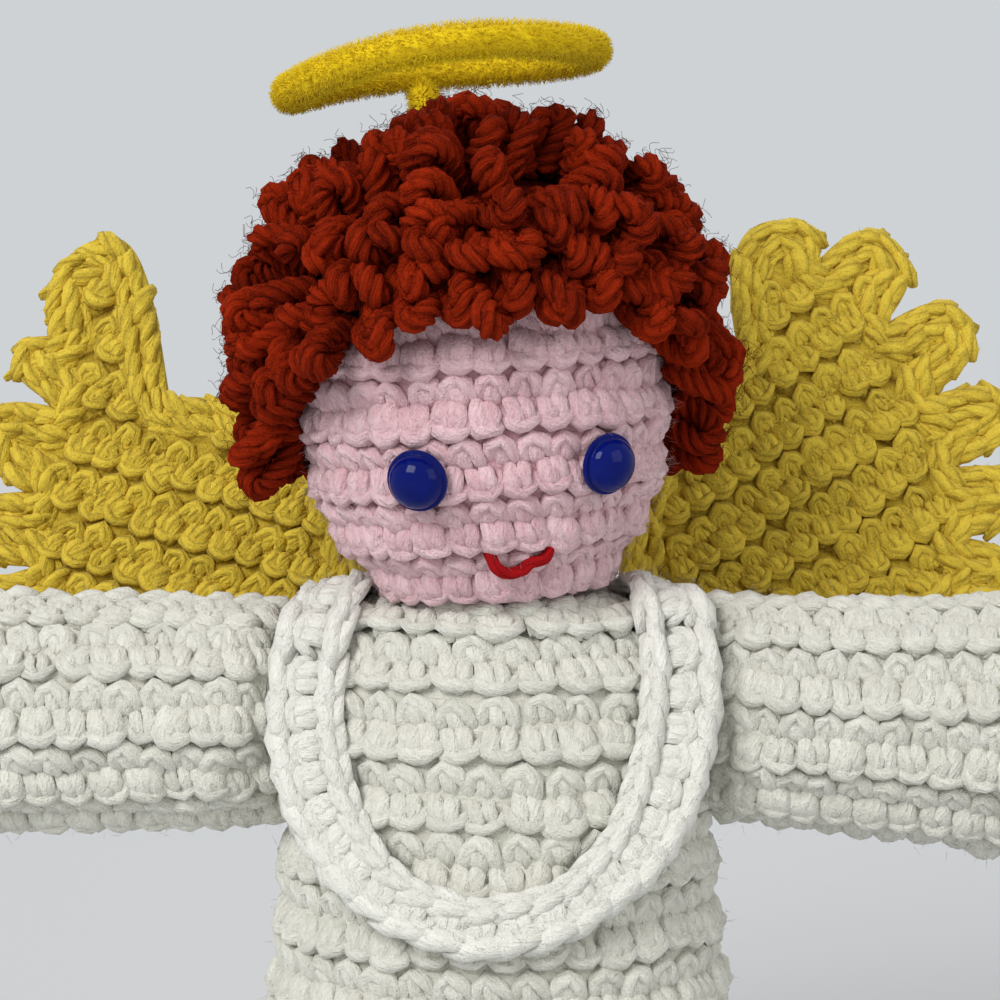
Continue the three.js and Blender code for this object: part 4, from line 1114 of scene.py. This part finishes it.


# Backing of the stitches, as small squares that bend with the wing, painted in the deep tone as shade between
# the stitches
def wingCloth(outline, side, cell=2.4, half=0.6):
    low = np.floor(outline.min(0) / cell) - 1
    wide, high = (np.ceil(outline.max(0) / cell) + 1 - low).astype(int)
    at = np.stack(np.meshgrid(np.arange(wide), np.arange(high), indexing="ij"), -1)
    middle = ((at + 0.5 + low) * cell).reshape(-1, 2)
    used = (inside(middle, outline) & (clearOf(middle, outline) > 1.9)).reshape(wide, high)
    # No two squares meet at a corner alone
    for i, j in np.argwhere(used[:-1, :-1] & used[1:, 1:] & ~used[1:, :-1] & ~used[:-1, 1:]):
        used[i + 1, j] = True
    for i, j in np.argwhere(used[1:, :-1] & used[:-1, 1:] & ~used[:-1, :-1] & ~used[1:, 1:]):
        used[i, j] = True
    flat = (np.stack(np.meshgrid(np.arange(wide + 1), np.arange(high + 1), indexing="ij"), -1) + low) * cell
    spot = wingPlace(flat.reshape(-1, 2), side)
    verts = np.concatenate([spot + (0, -half, 0), spot + (0, half, 0)])
    cells = np.argwhere(used)
    first = cells[:, 0] * (high + 1) + cells[:, 1]
    quads = np.stack([first, first + high + 1, first + high + 2, first + 1], 1)
    walls = []
    for k, step in enumerate(((0, -1), (1, 0), (0, 1), (-1, 0))):
        near = cells + step
        bare = ~used[near[:, 0].clip(0, wide - 1), near[:, 1].clip(0, high - 1)]
        a, b = quads[bare, k], quads[bare, (k + 1) % 4]
        walls.append(np.stack([b, a, a + len(spot), b + len(spot)], 1))
    walls = np.concatenate(walls)
    if side < 0:
        quads, walls = quads[:, ::-1], walls[:, ::-1]
    uvAt = flat.reshape(-1, 2) * (1 / 40, 1)
    local = (flat.reshape(-1, 2) - flat.min((0, 1))) / np.ptp(flat, axis=(0, 1)).max()
    pages = math.ceil(math.sqrt(len(walls)))
    page = np.stack([np.arange(len(walls)) % pages, np.arange(len(walls)) // pages], 1)[:, None]
    wallLocal = (page + 0.1 + 0.8 * np.array([(0, 0), (1, 0), (1, 1), (0, 1)])) / pages
    backs = quads[:, ::-1]
    faces = [(quads, uvAt[quads], local[quads], np.full(len(quads), 0)),
             (backs + len(spot), uvAt[backs], local[backs], np.full(len(quads), 1)),
             (walls, uvAt[walls % len(spot)], wallLocal, np.full(len(walls), 2))]
    keptVerts, where = np.unique(np.concatenate([f[0].ravel() for f in faces]), return_inverse=True)
    ends = np.cumsum([f[0].size for f in faces])[:-1]
    faces = [(w.reshape(-1, 4),) + f[1:] for w, f in zip(np.split(where, ends), faces)]
    # -1.6 gives the backing the deep tone: painted shade
    return {"verts": verts[keptVerts], "faces": faces, "toneAndShade": np.full(len(keptVerts), -1.6), "cells": 3}


for side, word in ((1, "left"), (-1, "right")):
    outline = wingOutline(wings[word])
    slope = math.radians(wings["rowSlope"] - wings[word]["droop"])
    ahead, rise = np.array((math.cos(slope), math.sin(slope))), np.array((-math.sin(slope), math.cos(slope)))
    rows, marks = [], []
    for row in range(-24, 24):  # more than the wing holds, then those inside it are kept
        for i in range(-5, 25):
            rows.append((i + 0.5 * (row % 2)) * wings["stitchWide"] * ahead + row * wings["rowTall"] * rise)
            marks.append(rowKinds[row % 2])
    rows, marks = np.array(rows) + wings["fan"], np.array(marks)
    hems = [evenly(insetLine(outline, depth), wings["hemStitch"], True) for depth in wings["hems"]]
    good = inside(rows, outline) & (clearOf(rows, outline) > 4) & (clearOf(rows, np.concatenate(hems)) > 2.6)
    rows, marks = rows[good], marks[good]
    along = np.repeat(ahead[None], len(rows), 0)
    patches = []
    for face in (-1, 1):
        spots = [wingSpots(rows, along, side, face, wings["stitchWide"], wings["rowTall"], marks)]
        for hem in hems:
            way = unit(np.roll(hem, -1, 0) - np.roll(hem, 1, 0))
            spots.append(wingSpots(hem, way, side, face, wings["hemStitch"], wings["hemTall"], rope))
        patches += crochet(gather(spots), 0, wings["yarn"], wings["loose"], wings["hairs"])
    rim = evenly(insetLine(outline, wings["rimInset"]), 1.5, True)
    patches.append(core(wingPlace(rim, side), wings["rimYarn"], True))
    wingPiece = weave(word + "WingCrochet", patches, finishes["gold"])
    cloth = weave(word + "WingCloth", [wingCloth(outline, side)], finishes["gold"])
    sheetEdge = insetLine(outline, wings["sheetInset"])
    dress(wingPiece, None, [word + "_wing"])
    dress(cloth, None, [word + "_wing"])
    for piece in (wingPiece, cloth):
        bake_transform(piece)
print("wings worked")

# Plastic inside the doll
innerParts = {
    "nodes": ("base_stiffener", "left_eye_washer", "right_eye_washer"),
    "roughness": 0.5, "grain": 300.0, "dark": tone(206, 204, 198), "light": tone(232, 230, 226),
}
plastic = newFinish("innerPlastic", {"Roughness": innerParts["roughness"]})
plasticGrain = plastic.node("TexNoise", None, {"Scale": innerParts["grain"]})
plastic.feed("Base Color", plastic.mix(plasticGrain, innerParts["dark"], innerParts["light"]))
for node in innerParts["nodes"]:
    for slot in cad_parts[node].material_slots:
        slot.material = plastic.material
